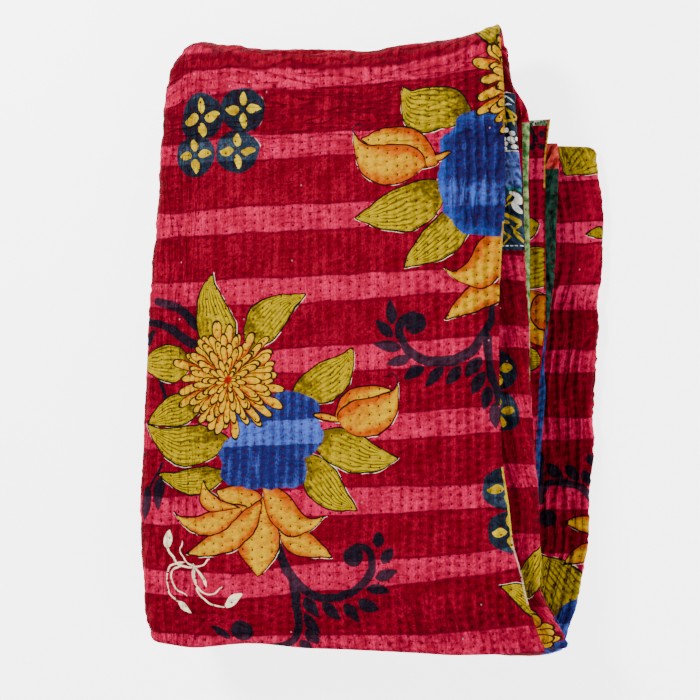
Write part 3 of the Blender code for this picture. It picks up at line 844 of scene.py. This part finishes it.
def make_chrysanthemum():
    """Rings of round-tipped petals, each ring laid over the larger one behind it.

    The angle times the number of petals counts them, and its fraction is the way aside. A petal
    is a wedge with an oval tip, and each has a reach and a lean of its own by chance.
    """
    group, (under, place) = new_group(
        "chrysanthemum", {"Under": "Color", "Place": "Vector"}, {"Colour": "Color"})
    x, y, _ = parts(place)
    radius = work_out("SQRT", x * x + y * y)
    turn = work_out("ARCTAN2", y, x) / (2 * np.pi)
    grain = cloudy(place, 4, 4)
    colour = under
    for tips, petals, turned, half_wide in RINGS:
        spot = turn * petals + turned
        number = work_out("FLOORED_MODULO", work_out("FLOOR", spot), petals)
        chance = add(group, "ShaderNodeTexWhiteNoise", {"W": number + tips}, noise_dimensions="1D")[0]
        aside = (work_out("FRACT", spot) - 0.5 + (chance - 0.5) * LEAN_BY_CHANCE) * radius
        aside = aside * (2 * np.pi / petals)
        half_long = half_wide * TIP_LONG
        ahead = radius - ((chance * REACH_BY_CHANCE + 0.8) * tips - half_long)
        tip_way = work_out("MAXIMUM", ahead, 0) / half_long
        side_way = aside / ((radius * (0.5 / tips) + 0.5) * half_wide)
        oval = work_out("SQRT", work_out("POWER", tip_way, 2.6) + side_way * side_way)
        depth = (1 - oval) * half_wide
        shade = ahead / (3 * half_long) + 0.75 + (grain - 0.5) * 1.6
        shade = shade - side_way * side_way * 0.35 + side_way * 0.22
        colour = over(step_up(depth, -1.0, -0.6), colour, PETAL_EDGE)
        petal = over(step_up(shade, 0.18, 0.85), PETAL_DARK, PETAL_LIGHT)
        colour = over(step_up(depth, -0.1, 0.25), colour, petal)
    colour = over(step_up(radius + grain * 4, *HEART_EDGE), colour, HEART)
    add(group, "NodeGroupOutput", {"Colour": colour})
    return group


LOOSE_FROM = 0.992  # of the stitches, all past this share have a pale loose thread


def make_running_stitches():
    """A hole with a dark thread at each whole number along each row, and the puffs between them.

    The thread and the hole's height are steps around the distance to the nearest hole. Puff is
    the sum of a cosine over the rows and one over the stitches.
    """
    group, (count,) = new_group(
        "running_stitches", {"Count": "Vector"},
        {"Thread": "Float", "Height": "Float", "Loose": "Float", "Puff": "Float"})
    row, stitch, _ = parts(count)
    number = work_out("ROUND", row)
    step = stitch + number * 0.5 + work_out("SINE", number * SHIFT_STEP) * SHIFT
    hole = work_out("ROUND", step)
    off, away = (row - number) * ROW, (step - hole) * STITCH
    far = work_out("SQRT", off * off + away * away * 0.7)
    at_hole = add(group, "ShaderNodeCombineXYZ", {0: number, 1: hole})[0]
    chance = add(group, "ShaderNodeTexWhiteNoise", {"Vector": at_hole}, noise_dimensions="2D")[0]
    over_rows = work_out("COSINE", row * (2 * np.pi))
    over_stitches = work_out("COSINE", step * (2 * np.pi))
    add(group, "NodeGroupOutput", {
        "Thread": step_up(far, 0.9, 0.55),
        "Height": step_up(far, 0.3, 2.0),
        "Loose": step_up(chance, LOOSE_FROM - 0.001, LOOSE_FROM + 0.001),
        "Puff": (over_rows + over_stitches * (over_rows * 0.35 + 0.45)) * -1})
    return group


YARN = 0.55  # from one yarn to the next, both ways


def make_cotton_weave():
    """Height of the cloth itself: a sine for the yarns each way, and two sizes of soft noise."""
    group, (place,) = new_group("cotton_weave", {"Place": "Vector"}, {"Height": "Float"})
    across, along, _ = parts(place)
    yarns = work_out("SINE", across * (2 * np.pi / YARN)) + work_out("SINE", along * (2 * np.pi / YARN))
    rough, soft = cloudy(place, 2.4, 2.4, 3), cloudy(place, 6, 3.6, 1)
    add(group, "NodeGroupOutput", {"Height": yarns * 0.02 + rough * 0.55 + soft * 0.9})
    return group


def crease_lines(place, apart_p, apart_q, wide):
    """1 in thin winding valleys, where soft noise crosses its middle value, and 0 between them."""
    return step_up(abs(cloudy(place, apart_p, apart_q, 1) - 0.5), wide, 0)


def make_fine_creases():
    """Depth of the fine creases: layers of winding valleys, most of them in a part of the cloth."""
    group, (place,) = new_group("fine_creases", {"Place": "Vector"}, {"Depth": "Float"})
    across, along, _ = parts(place)
    by_far_fold = step_up(along, 150, 205) * step_up(along, 330, 280)
    by_near_end = step_up(along, -165, -225) * step_up(across, -90, 20)
    by_wide_fold = step_up(across, -112, -145)
    on_upper_blue = step_up(across, 70, 100) * step_up(along, 92, 108) * step_up(along, 212, 192)
    everywhere = step_up(cloudy(place, 38, 45.6), 0.38, 0.62) * 0.7 + 0.3
    leaning = add(group, "ShaderNodeVectorRotate", {"Vector": place, "Angle": np.radians(-17)},
                  rotation_type="Z_AXIS")[0]
    layers = [  # how they run, how far apart across and along, how wide, where, and how deep
        (leaning, 8, 36, 0.12, by_near_end, 0.7), (place, 15, 8, 0.09, everywhere, 0.36),
        (place, 6, 3.1, 0.09, everywhere, 0.15), (place, 9, 30, 0.08, everywhere, 0.26),
        (place, 34, 7.5, 0.09, by_far_fold, 0.8), (place, 5.5, 42, 0.1, by_wide_fold, 0.6),
        (place, 7.5, 30, 0.12, on_upper_blue, 0.9)]
    depth = 0
    for run, apart_p, apart_q, wide, where, deep in layers:
        depth = crease_lines(run, apart_p, apart_q, wide) * where * deep + depth
    add(group, "NodeGroupOutput", {"Depth": depth})
    return group


outlined_shape = make_outlined_shape()
veined_fill = make_veined_fill()
chrysanthemum = make_chrysanthemum()
running_stitches = make_running_stitches()
cotton_weave = make_cotton_weave()
fine_creases = make_fine_creases()

DULL = 0.03  # hardly any shine
RIBBED = (840, 850)  # fine ribs show from here along the print, where the last band begins
BUMP_DEEP = 0.0015  # in metres: how deep a height of 1 is


def cloth_material(name, roughness):
    """A dull woven material, and its node tree."""
    material = bpy.data.materials.new(name)
    material.use_nodes = True
    shader = material.node_tree.nodes["Principled BSDF"]
    shader.inputs["Roughness"].default_value = roughness
    shader.inputs["Specular IOR Level"].default_value = DULL
    return material, material.node_tree


def finish_cloth(tree, colour, place, hole, puff):
    """Gives the shader its colour and, as bump, the weave, holes, puffs, ribs and creases.

    The puffs are higher at the right of the far half, on the last band, on the inner layers and
    at the near end, where the cloth is gathered more.
    """
    across, along, _ = parts(place)
    last_band = step_up(along, *RIBBED)
    far_right = step_up(across, 20, 110) * step_up(along, 300, 250)
    gathered = work_out("MAXIMUM", far_right, last_band * 1.5)
    gathered = work_out("MAXIMUM", gathered, step_up(across, -400, -420))
    gathered = work_out("MAXIMUM", gathered, step_up(along, -190, -235) * 0.6)
    uneven = cloudy(place, 34, 34) * 1.6 + 0.2
    height = use(cotton_weave, Place=place)[0] + hole * 0.3 - use(fine_creases, Place=place)[0]
    height = height + puff * ((gathered * 0.38 + 0.15) * uneven)
    height = height + cloudy(place, 3.6, 25.2, 1) * last_band * 1.8
    bump = add(tree, "ShaderNodeBump", {"Strength": 1, "Distance": BUMP_DEEP, "Height": height})[0]
    shader = tree.nodes["Principled BSDF"]
    tree.links.new(colour.socket, shader.inputs["Base Color"])
    tree.links.new(bump.socket, shader.inputs["Normal"])


OUTLINE = 0.62  # half the width of the black line around leaves and petals
OLIVE = {  # leaf green, with pale lines along the leaf
    "Dark": dye(90, 70, 0), "Light": dye(170, 143, 0), "Line": dye(56, 46, 0),
    "Veins": 4.5, "Strength": 0.85, "Rise": 0.95, "Rim": 0.12, "From": 0.5}
AMBER = {  # petal orange, turning yellow towards the tip
    "Dark": dye(168, 66, 0), "Light": dye(198, 152, 0), "Line": dye(160, 50, 0),
    "Veins": 1.6, "Strength": 0.15, "Rise": 0.45, "Rim": 0.9, "From": 0.02}
FILLS = {  # the outlined shapes under the blue petals and over them
    "under": {"leaves_back": OLIVE, "leaves_front": OLIVE, "petals_back": AMBER, "petals_low": AMBER,
              "petals_mid": AMBER, "petals_front": AMBER, "petals_top": AMBER},
    "over": {"buds_back": AMBER, "buds": AMBER},
}
PALER = (1080, 1100)  # along the print from here the last band is paler
UPPER_BLUE = ((60, 62), (60, 66))  # the blue petals past these places, across and along
# A dye that wears is a pair: fresh, and worn.
CRIMSON, PINK = (dye(98, 1, 18), dye(146, 0, 38)), (dye(146, 5, 42), dye(214, 30, 84))
SCROLL, SCROLL_ON_PINK = (dye(16, 11, 22), dye(34, 24, 36)), (dye(44, 22, 36), dye(66, 36, 54))
NAVY, NAVY_ON_PINK = (dye(14, 18, 30), dye(30, 42, 56)), (dye(28, 40, 56), dye(60, 76, 94))
LENS, BLUE_DYE = (dye(160, 126, 0), dye(206, 176, 16)), (dye(22, 24, 80), dye(72, 98, 186))
BAND_EDGE, SLIVER, CYAN_RIM = dye(100, 2, 24), dye(240, 225, 205), dye(24, 78, 168)
PALE_SPRIG, THREAD, LOOSE_THREAD = dye(250, 232, 190), dye(70, 2, 16), dye(230, 150, 165)
CREASE_SHADE = dye(30, 2, 10)
SCRAP_SPOTS, SCRAP_GROUND = (dye(90, 130, 84), dye(220, 220, 190)), dye(22, 52, 56)
SCRAP_EDGE = dye(186, 120, 2)
HEM_DYES = [  # scraps of print that show on the turned hem: along from and to, how much, and the dye
    (-214, -160, 0.35, dye(230, 210, 180)), (-160, -100, 1.0, dye(196, 166, 20)),
    (40, 108, 0.7, dye(206, 164, 20)), (190, 235, 0.3, dye(200, 160, 30)),
    (1020, 1188, 0.9, dye(150, 6, 30)), (1188, 1252, 1.0, dye(206, 150, 40)),
]
SCRAP_FROM, SCRAP_RIM = (1243, 1243.6), (166.5, 167.5)  # along and across: the scrap at the last corner


def outlined(under, bare, name, fill, place, missed):
    """A layer of outlined shapes over a colour, and the bare ground that is left."""
    shape = stored_vector(under.tree, name)
    depth, _, across = parts(shape)
    filled = use(veined_fill, Shape=shape, Place=place, **fill)[0]
    return use(outlined_shape, Under=under, Fill=filled, Depth=depth, Across=across, Line=OUTLINE,
               Bare=bare, Missed=missed)


def striped_ground(wear_and_shade, in_band, banded):
    """The crimson ground and the pink bands, with a darker line along a band's edge."""
    crimson = over(step_up(wear_and_shade, 0.38, 0.82), *CRIMSON)
    pink = over(step_up(wear_and_shade, 0.34, 0.84), *PINK)
    crimson = over(step_up(abs(in_band + 1.2), 1.6, 0.2), crimson, BAND_EDGE)
    return over(banded, crimson, pink)


def inked(colour, wear_and_shade, banded, blotches, across):
    """Dark scrolls and navy roundels, both paler on the pink bands and with wear, paler too on the
    puffs' painted highlight and darker in the creases' painted shade.

    A pale sliver of bare cloth shows at the right of some roundels, and their petals are gold.
    """
    tree = colour.tree
    faint = step_up(wear_and_shade, 0.4, 0.75)
    ink = over(banded, over(faint, *SCROLL), over(faint, *SCROLL_ON_PINK))
    colour = over(step_up(brushed(tree, "ink"), -0.25, 0.3), colour, ink)
    depth, aside, _ = parts(stored_vector(tree, "roundels"))
    sliver = step_up(depth, -0.9, -0.3) * step_up(aside, 0.75, 0.95) * step_up(across, -104, -100)
    colour = over(sliver * step_up(blotches, 0.45, 0.55), colour, SLIVER)
    navy = over(banded, over(faint, *NAVY), over(faint, *NAVY_ON_PINK))
    colour = over(step_up(depth, -0.25, 0.3), colour, navy)
    lens_depth, _, _ = parts(stored_vector(tree, "lenses"))
    return over(step_up(lens_depth, -0.2, 0.35), colour, over(step_up(blotches, 0.35, 0.7), *LENS))


def blue_petals(colour, in_blue, wear_and_shade, banded, puffs, across, along):
    """Blue petals, paler over the pink bands, with wear and near their edge, and between the rows as
    a painted highlight on the puffs' tops. The creases' painted shade darkens them too.

    The upper ones are not paler over the pink bands. They have a pale band of their own and a
    cyan rim.
    """
    upper = step_up(along, *UPPER_BLUE[Q]) * step_up(across, *UPPER_BLUE[P])
    own_band = step_up(along, 121, 123) * step_up(along, 150, 138) * upper
    pale = banded * (0.42 - upper * 0.42) + own_band * 0.24 + step_up(in_blue, 12, 1) * 0.14
    # Subtracting puffs makes the blue paler between the rows, a painted highlight on the puffs' tops.
    tone = wear_and_shade + pale - puffs * 0.08
    blue = over(step_up(tone, 0.48, 1.25), *BLUE_DYE)
    blue = over(step_up(in_blue, 11, 1) * upper * 0.4, blue, CYAN_RIM)
    return over(step_up(in_blue, -1.0, 0.6), colour, blue)


def hem_scraps(colour, specks, blotches, across, along):
    """Bits of print from the turned edge, which show on the hem and at the last corner."""
    near_hem = step_up(stored_number(colour.tree, "hem") + specks * 0.8, 2.1, 1.6)
    on_right = step_up(across, 100, 102)
    for low, high, amount, hem_dye in HEM_DYES:
        shows = near_hem * between(along, low, high) * (on_right * amount)
        colour = over(shows * step_up(blotches, 0.3, 0.5), colour, hem_dye)
    scrap = over(step_up(specks, 0.44, 0.5), SCRAP_GROUND, over(step_up(blotches, 0.45, 0.5), *SCRAP_SPOTS))
    scrap = over(step_up(across, *SCRAP_RIM), scrap, SCRAP_EDGE)
    return over(step_up(along, *SCRAP_FROM) * step_up(across, 60, 61), colour, scrap)


def printed_cotton():
    """The whole print, layer over layer, with the stitches' threads and the creases' shade on top.

    Its wear comes from streaks, blotches and specks of noise, and the last band is paler and
    ribbed. The same tone carries painted light too: the puffs' tops between the rows are paler,
    a painted highlight, and the creases are darker, a painted shade.
    """
    material, tree = cloth_material("printed_cotton", roughness=0.82)
    place, count = stored_vector(tree, "flat"), stored_vector(tree, "stitches")
    across, along, _ = parts(place)
    streaks, blotches = cloudy(place, 1.3, 28.6, 3), cloudy(place, 16, 20.8, 3)
    specks = cloudy(place, 1.5, 2.4, 3)
    ribs = (cloudy(place, 3.6, 25.2, 1) - 0.5) * step_up(along, *RIBBED)
    puffs = work_out("COSINE", parts(count)[0] * (2 * np.pi))  # 1 on the rows and -1 between them
    creased = use(fine_creases, Place=place)[0]
    # The tone adds painted light to the wear: paler on the puffs' tops between the rows, a painted
    # highlight, and darker in the creases, a painted shade.
    wear_and_shade = streaks * 0.42 + blotches * 0.65 + step_up(along, *PALER) * 0.26
    wear_and_shade = wear_and_shade + (specks - 0.5) * 0.7 - puffs * 0.03 - creased * 0.1 + ribs * 0.7

    in_band, in_blue = stored_number(tree, "band"), stored_number(tree, "blue")
    banded = step_up(in_band, -0.8, 0.9)
    missed = step_up(cloudy(place, 15, 15, 1), 0.44, 0.56)  # 1 where the blocks missed each other
    bare = 1
    colour = striped_ground(wear_and_shade, in_band, banded)
    colour = inked(colour, wear_and_shade, banded, blotches, across)
    for name, fill in FILLS["under"].items():
        colour, bare = outlined(colour, bare, name, fill, place, missed)
    colour = blue_petals(colour, in_blue, wear_and_shade, banded, puffs, across, along)
    bare = bare * step_up(in_blue, 0.5, -0.5)
    for name, fill in FILLS["over"].items():
        colour, bare = outlined(colour, bare, name, fill, place, missed)
    colour = use(chrysanthemum, Under=colour, Place=stored_vector(tree, "flower"))[0]
    colour = over(step_up(brushed(tree, "sprig"), -0.25, 0.2), colour, PALE_SPRIG)
    colour = hem_scraps(colour, specks, blotches, across, along)

    thread, hole, loose, puff = use(running_stitches, Count=count)
    colour = over(thread * step_up(blotches, 0.3, 0.5), colour, THREAD)
    colour = over(thread * loose * 0.4, colour, LOOSE_THREAD)
    colour = over(step_up(creased, 0.2, 1.1) * 0.28, colour, CREASE_SHADE)
    finish_cloth(tree, colour, place, hole, puff)
    return material


mesh.materials.append(printed_cotton())
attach(printed, "root")
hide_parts("quilt")

# ---- The back ---------------------------------------------------------------------------
# A plain cotton of the same size, pieced from several dyed lengths and quilted to the front by
# the same stitches. It lies inside the folds, so that only its edges and corners show.

BACK_NETS = {
    "top face": (steps((0, 0.012, 4), (0.012, 0.1, 8), (0.1, 1, 20), (1, 2, 8)),
                 steps((0, 5, 4), (5, 497, 100), (497, 500, 2))),
    "top inside": (steps((2.01, 2.96, 8), (2.96, 3, 2), (3, 4, 6), (4, 4.12, 6), (4.12, 5, 8),
                         (5, 6, 5), (6, 6.9, 7), (6.9, 7, 8)),
                   steps((0, 5, 4), (5, 500, 100))),
    "far turn": (steps((0, 0.012, 3), (0.012, 1, 30), (1, 2, 6), (2, 3, 10), (3, 4, 6), (4, 5, 10),
                       (5, 6, 4), (6, 6.98, 8), (6.98, 7, 3)), steps((500.5, 546, 16))),
    "middle": (steps((0, 0.1, 20), (0.1, 1, 10), (1, 2, 6), (2, 3, 8), (3, 4, 6), (4, 5, 7),
                     (5, 6, 6), (6, 7, 10)), steps((546.5, 1021, 160))),
    "near turn": (steps((0, 1, 14), (1, 2, 8), (2, 3, 20), (3, 4, 6), (4, 5, 8), (5, 6, 6), (6, 7, 8)),
                  steps((1021.5, 1067, 16))),
    "last": (steps((0, 0.1, 6), (0.1, 1, 6), (1, 2, 6), (2, 3, 10), (3, 4, 6), (4, 4.22, 10),
                   (4.22, 5, 8), (5, 6, 6), (6, 6.85, 6), (6.85, 7, 20)),
             steps((1067.5, LENGTH - 5, 160), (LENGTH - 5, LENGTH, 4))),
}
CLARET = (dye(120, 2, 30), dye(196, 14, 60))  # the back's own dye, in its folds and faded
BACK_THREAD = dye(120, 30, 40)
DYED_PIECES = [  # across from and to, along from and to, the dye in its folds and where it has faded
    (-2000, 400, 331, 760, dye(52, 104, 48), dye(160, 186, 120)),
    (-420, 400, 760, 1300, dye(30, 36, 84), dye(54, 66, 128)),
    (-2000, -420, 760, 1062, dye(24, 32, 84), dye(50, 72, 140)),
    (-2000, -420, 1062, 1206, dye(16, 38, 30), dye(40, 78, 62)),
    (-2000, -420, 1206, 1400, dye(176, 30, 34), dye(216, 74, 64)),
    (-2000, -700, -300, 331, dye(150, 100, 4), dye(180, 140, 20)),
]


def pieced_cotton():
    """Plain dyes, one for each piece of the back, all faded by the same soft noise."""
    material, tree = cloth_material("pieced_cotton", roughness=0.85)
    place = stored_vector(tree, "flat")
    across, along, _ = parts(place)
    faded = step_up(cloudy(place, 5, 7.5, 3), 0.36, 0.62)
    colour = over(faded, *CLARET)
    for low_p, high_p, low_q, high_q, dark, light in DYED_PIECES:
        inside = between(across, low_p, high_p) * between(along, low_q, high_q)
        colour = over(inside, colour, over(faded, dark, light))
    thread, hole, _, puff = use(running_stitches, Count=stored_vector(tree, "stitches"))
    colour = over(thread * 0.8, colour, BACK_THREAD)
    finish_cloth(tree, colour, place, hole, puff)
    return material


points, faces, places = face_of_cloth(BACK_NETS, -1)
points[:, 2] = np.maximum(points[:, 2], 0)
back = cloth_object("backing_cloth", points, faces)
keep_places(back.data, places)
back.data.materials.append(pieced_cotton())
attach(back, "root")
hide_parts("quilt")

# ---- The patch --------------------------------------------------------------------------
# A scrap of an older navy print, sewn over the narrow fold to mend it. Its edges are turned
# under and held by white running stitches.

PATCH_SECTION = steps((2.93, 3, 6), (3, 4, 30), (4, 4.09, 34))
PATCH_ALONG = steps((341, 474, 170))
PATCH_THICK, TUCKED = 0.75, 0.3  # how high it lies, and how deep its very edge goes back in
TURNED_EDGE, TURNED_AT, TURNED_WIDE = 0.4, 1.8, 1.2  # the ridge of its turned edge
PATCH_GROOVE, PATCH_SEAM, GROOVE_WIDE = 0.35, 4, 0.9  # the stitches' groove within it
EDGE_OF_FOLD = ([84, 144, 184, 219], [-528.5, -516, -510, -504])  # the fold's rim: along, across
BLOSSOMS = [((-8.5, 185), 1.0), ((-1.0, 178), 0.9), ((-13, 176), 0.9)]  # middle and size
GOLD = [(stroke, route, half, half) for route, half in [
    ([(-14, 204), (-8, 206), (-1, 201)], 1.0), ([(-9, 205), (-8, 197)], 0.9),
    ([(-14, 200), (-7, 197), (-1, 199)], 0.9), ([(-5, 204), (-3, 195)], 0.8),
    ([(-6, 135), (-13, 127)], 1.0), ([(-5, 128), (-13, 124)], 0.7),
    ([(-18, 118), (-10, 114), (-3, 110)], 1.6), ([(-18, 112), (-12, 109)], 1.3),
    ([(-20, 104), (-11, 97)], 0.9), ([(-11, 97), (-20, 88)], 0.9), ([(-2, 108), (-7, 101), (-2, 93)], 1.0),
    ([(-9, 105), (-4, 99)], 0.6)]]
WHITE = [(stroke, route, half, half) for route, half in [
    ([(-16, 172), (-8, 171), (2, 171.5)], 0.5), ([(-14, 209), (-7, 214), (-2, 212)], 0.5),
    ([(-13, 208), (-5, 209)], 0.5), ([(-15, 214), (2, 219)], 0.6)]]
WHITE += [(disc, (m[P] + 4.3 * size * np.cos(a), m[Q] + 4.3 * size * np.sin(a)), 2.1 * size, 2.1 * size)
          for m, size in BLOSSOMS for a in np.radians(np.arange(5) * 72 + 20)]
WHITE += [(stroke, [(-8, 135), (-3, 131), (-6, 125), (-2, 119)], 1.4, 2.2), (disc, (-2, 128), 2.6, 3.4)]
HEARTS = [(disc, m, 2.4 * size, 2.4 * size) for m, size in BLOSSOMS]
PATCH_DYES = {  # dark and faded: the ground, and two bands with where they lie along
    "ground": (dye(10, 18, 30), dye(38, 58, 78)),
    "blue": (140, 170.5, dye(34, 40, 100), dye(86, 110, 180)),
    "green": (136, 140, dye(10, 40, 46), dye(40, 110, 116)),
}
PATCH_PAINTS = {"gold": dye(176, 146, 2), "white": dye(225, 225, 215)}
WHITE_THREAD = dye(235, 235, 230)
DASH, GAP_AT = 1.9, (0.5, 0.7)  # half the step of the white stitches, and where a gap ends in it


def patch_cotton():
    """A faded navy ground with bands, brushed marks, white blossoms and a row of white stitches."""
    material, tree = cloth_material("patch_cotton", roughness=0.85)
    place = stored_vector(tree, "flat")
    rim, across, along = parts(stored_vector(tree, "rim"))
    fading = cloudy(place, 4, 6, 3)
    faded = step_up(fading, 0.36, 0.62)
    colour = over(faded, *PATCH_DYES["ground"])
    for name in ("blue", "green"):
        low, high, dark, light = PATCH_DYES[name]
        colour = over(between(along, low, high), colour, over(faded, dark, light))
    for name, paint in PATCH_PAINTS.items():
        depth = brushed(tree, name, swelling=fading * 1.2 - 0.6)
        colour = over(step_up(depth, -0.3, 0.3), colour, paint)
    colour = over(step_up(parts(stored_vector(tree, "hearts"))[0], -0.2, 0.3), colour, BLACK)
    dash = step_up(work_out("PINGPONG", across + 0.5, DASH), *GAP_AT)
    dash = dash * between(rim, PATCH_SEAM - 0.4, PATCH_SEAM + 0.4) * step_up(along, 100, 98)
    colour = over(dash, colour, WHITE_THREAD)
    _, hole, _, puff = use(running_stitches, Count=stored_vector(tree, "stitches"))
    finish_cloth(tree, colour, place, hole, puff)
    return material


points, u, v = face_net(PATCH_SECTION, PATCH_ALONG, +1)
rim = np.minimum(np.minimum(v - v[:, :1], v[:, -1:] - v), np.minimum(u - u[:1], u[-1:] - u))
outward = np.cross(np.gradient(points, axis=1), np.gradient(points, axis=0))
outward /= np.linalg.norm(outward, axis=-1, keepdims=True)
lift = PATCH_THICK * smooth(rim / 1.2) + TURNED_EDGE * bell(rim - TURNED_AT, TURNED_WIDE)
lift = lift - TUCKED * (rim < 0.1) - PATCH_GROOVE * bell(rim - PATCH_SEAM, GROOVE_WIDE)
points = (points + outward * lift[..., None]).reshape(-1, 3) - BOX_MIDDLE
faces = weave_net(np.arange(u.size).reshape(u.shape))
patch = cloth_object("patch", points, faces)
places = np.stack([u, v], -1).reshape(-1, 2)
keep_places(patch.data, places)
across, along = print_place(places)
across = across - np.interp(along, *EDGE_OF_FOLD)
true_p, true_q = across[faces], along[faces]
corner_p = true_p + hills(true_p, true_q, (0.5, 5, 41))
corner_q = true_q + hills(true_p, true_q, (0.5, 5, 42))
for name, shapes, has_strokes in (("gold", GOLD, True), ("white", WHITE, True), ("hearts", HEARTS, False)):
    keep(patch.data, name, "CORNER", stamp(corner_p, corner_q, shapes, has_strokes))
keep(patch.data, "rim", "POINT", np.stack([rim.ravel(), across, along], -1))
patch.data.materials.append(patch_cotton())
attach(patch, "root")
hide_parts("quilt")

# ---- Floor, light and camera ------------------------------------------------------------
# The folded throw lies on a sheet of white paper, which glows a little so that it stays white.
# A soft lamp from the far left throws faint shadows, and a wider one fills them.

PAPER_HALF, PAPER_Z = 3000, -0.2  # half the sheet's width, and the height of its face
PAPER_WHITE, PAPER_GLOW = 0.98, 3.4  # its colour, and the strength of its glow
SKY = 0.46  # strength of the even white light all round
LAMPS = [  # name, size in m, power in W, place in m
    ("key", 0.45, 80, (-1.15, 0.95, 1.45)),
    ("fill", 1.0, 22, (1.0, -0.6, 1.3)),
]
LEAN, TIP = np.radians(12), np.radians(4)  # how far the camera looks from the right and from the near end
AIM = Vector((-0.00966, -0.01187, 0.08345))  # the middle of the face layer, in m
AWAY = 1.15  # m from there to the camera
SEEN = 0.7 / 1.16  # m across the frame at that distance
SENSOR = 36  # mm

corners = np.array([[-1, -1, 0], [1, -1, 0], [1, 1, 0], [-1, 1, 0]]) * PAPER_HALF + [0, 0, PAPER_Z]
floor = cloth_object("floor", corners, np.array([[0, 1, 2], [0, 2, 3]]))
paper = bpy.data.materials.new("paper")
paper.use_nodes = True
shader = paper.node_tree.nodes["Principled BSDF"]
shader.inputs["Base Color"].default_value = (PAPER_WHITE, PAPER_WHITE, PAPER_WHITE, 1)
shader.inputs["Emission Color"].default_value = (1, 1, 1, 1)
shader.inputs["Emission Strength"].default_value = PAPER_GLOW
floor.data.materials.append(paper)

world = bpy.data.worlds.new("studio")
world.use_nodes = True
world.node_tree.nodes["Background"].inputs["Color"].default_value = (1, 1, 1, 1)
world.node_tree.nodes["Background"].inputs["Strength"].default_value = SKY
bpy.context.scene.world = world

for name, size, power, place in LAMPS:
    light = bpy.data.lights.new(name, "AREA")
    light.size, light.energy = size, power
    lamp = bpy.data.objects.new(name, light)
    lamp.location = place
    lamp.rotation_euler = (-Vector(place)).to_track_quat("-Z", "Y").to_euler()
    bpy.context.collection.objects.link(lamp)

view = Vector((np.tan(LEAN), -np.tan(TIP), 1)).normalized()
up = Vector((0, 1, 0))
up = (up - up.dot(view) * view).normalized()
camera = bpy.data.objects.new("camera", bpy.data.cameras.new("camera"))
turned = Matrix((up.cross(view), up, view)).transposed().to_4x4()
camera.matrix_world = Matrix.Translation(AIM + AWAY * view) @ turned
camera.data.sensor_width = SENSOR
camera.data.lens = SENSOR * AWAY / SEEN
bpy.context.collection.objects.link(camera)
bpy.context.scene.camera = camera
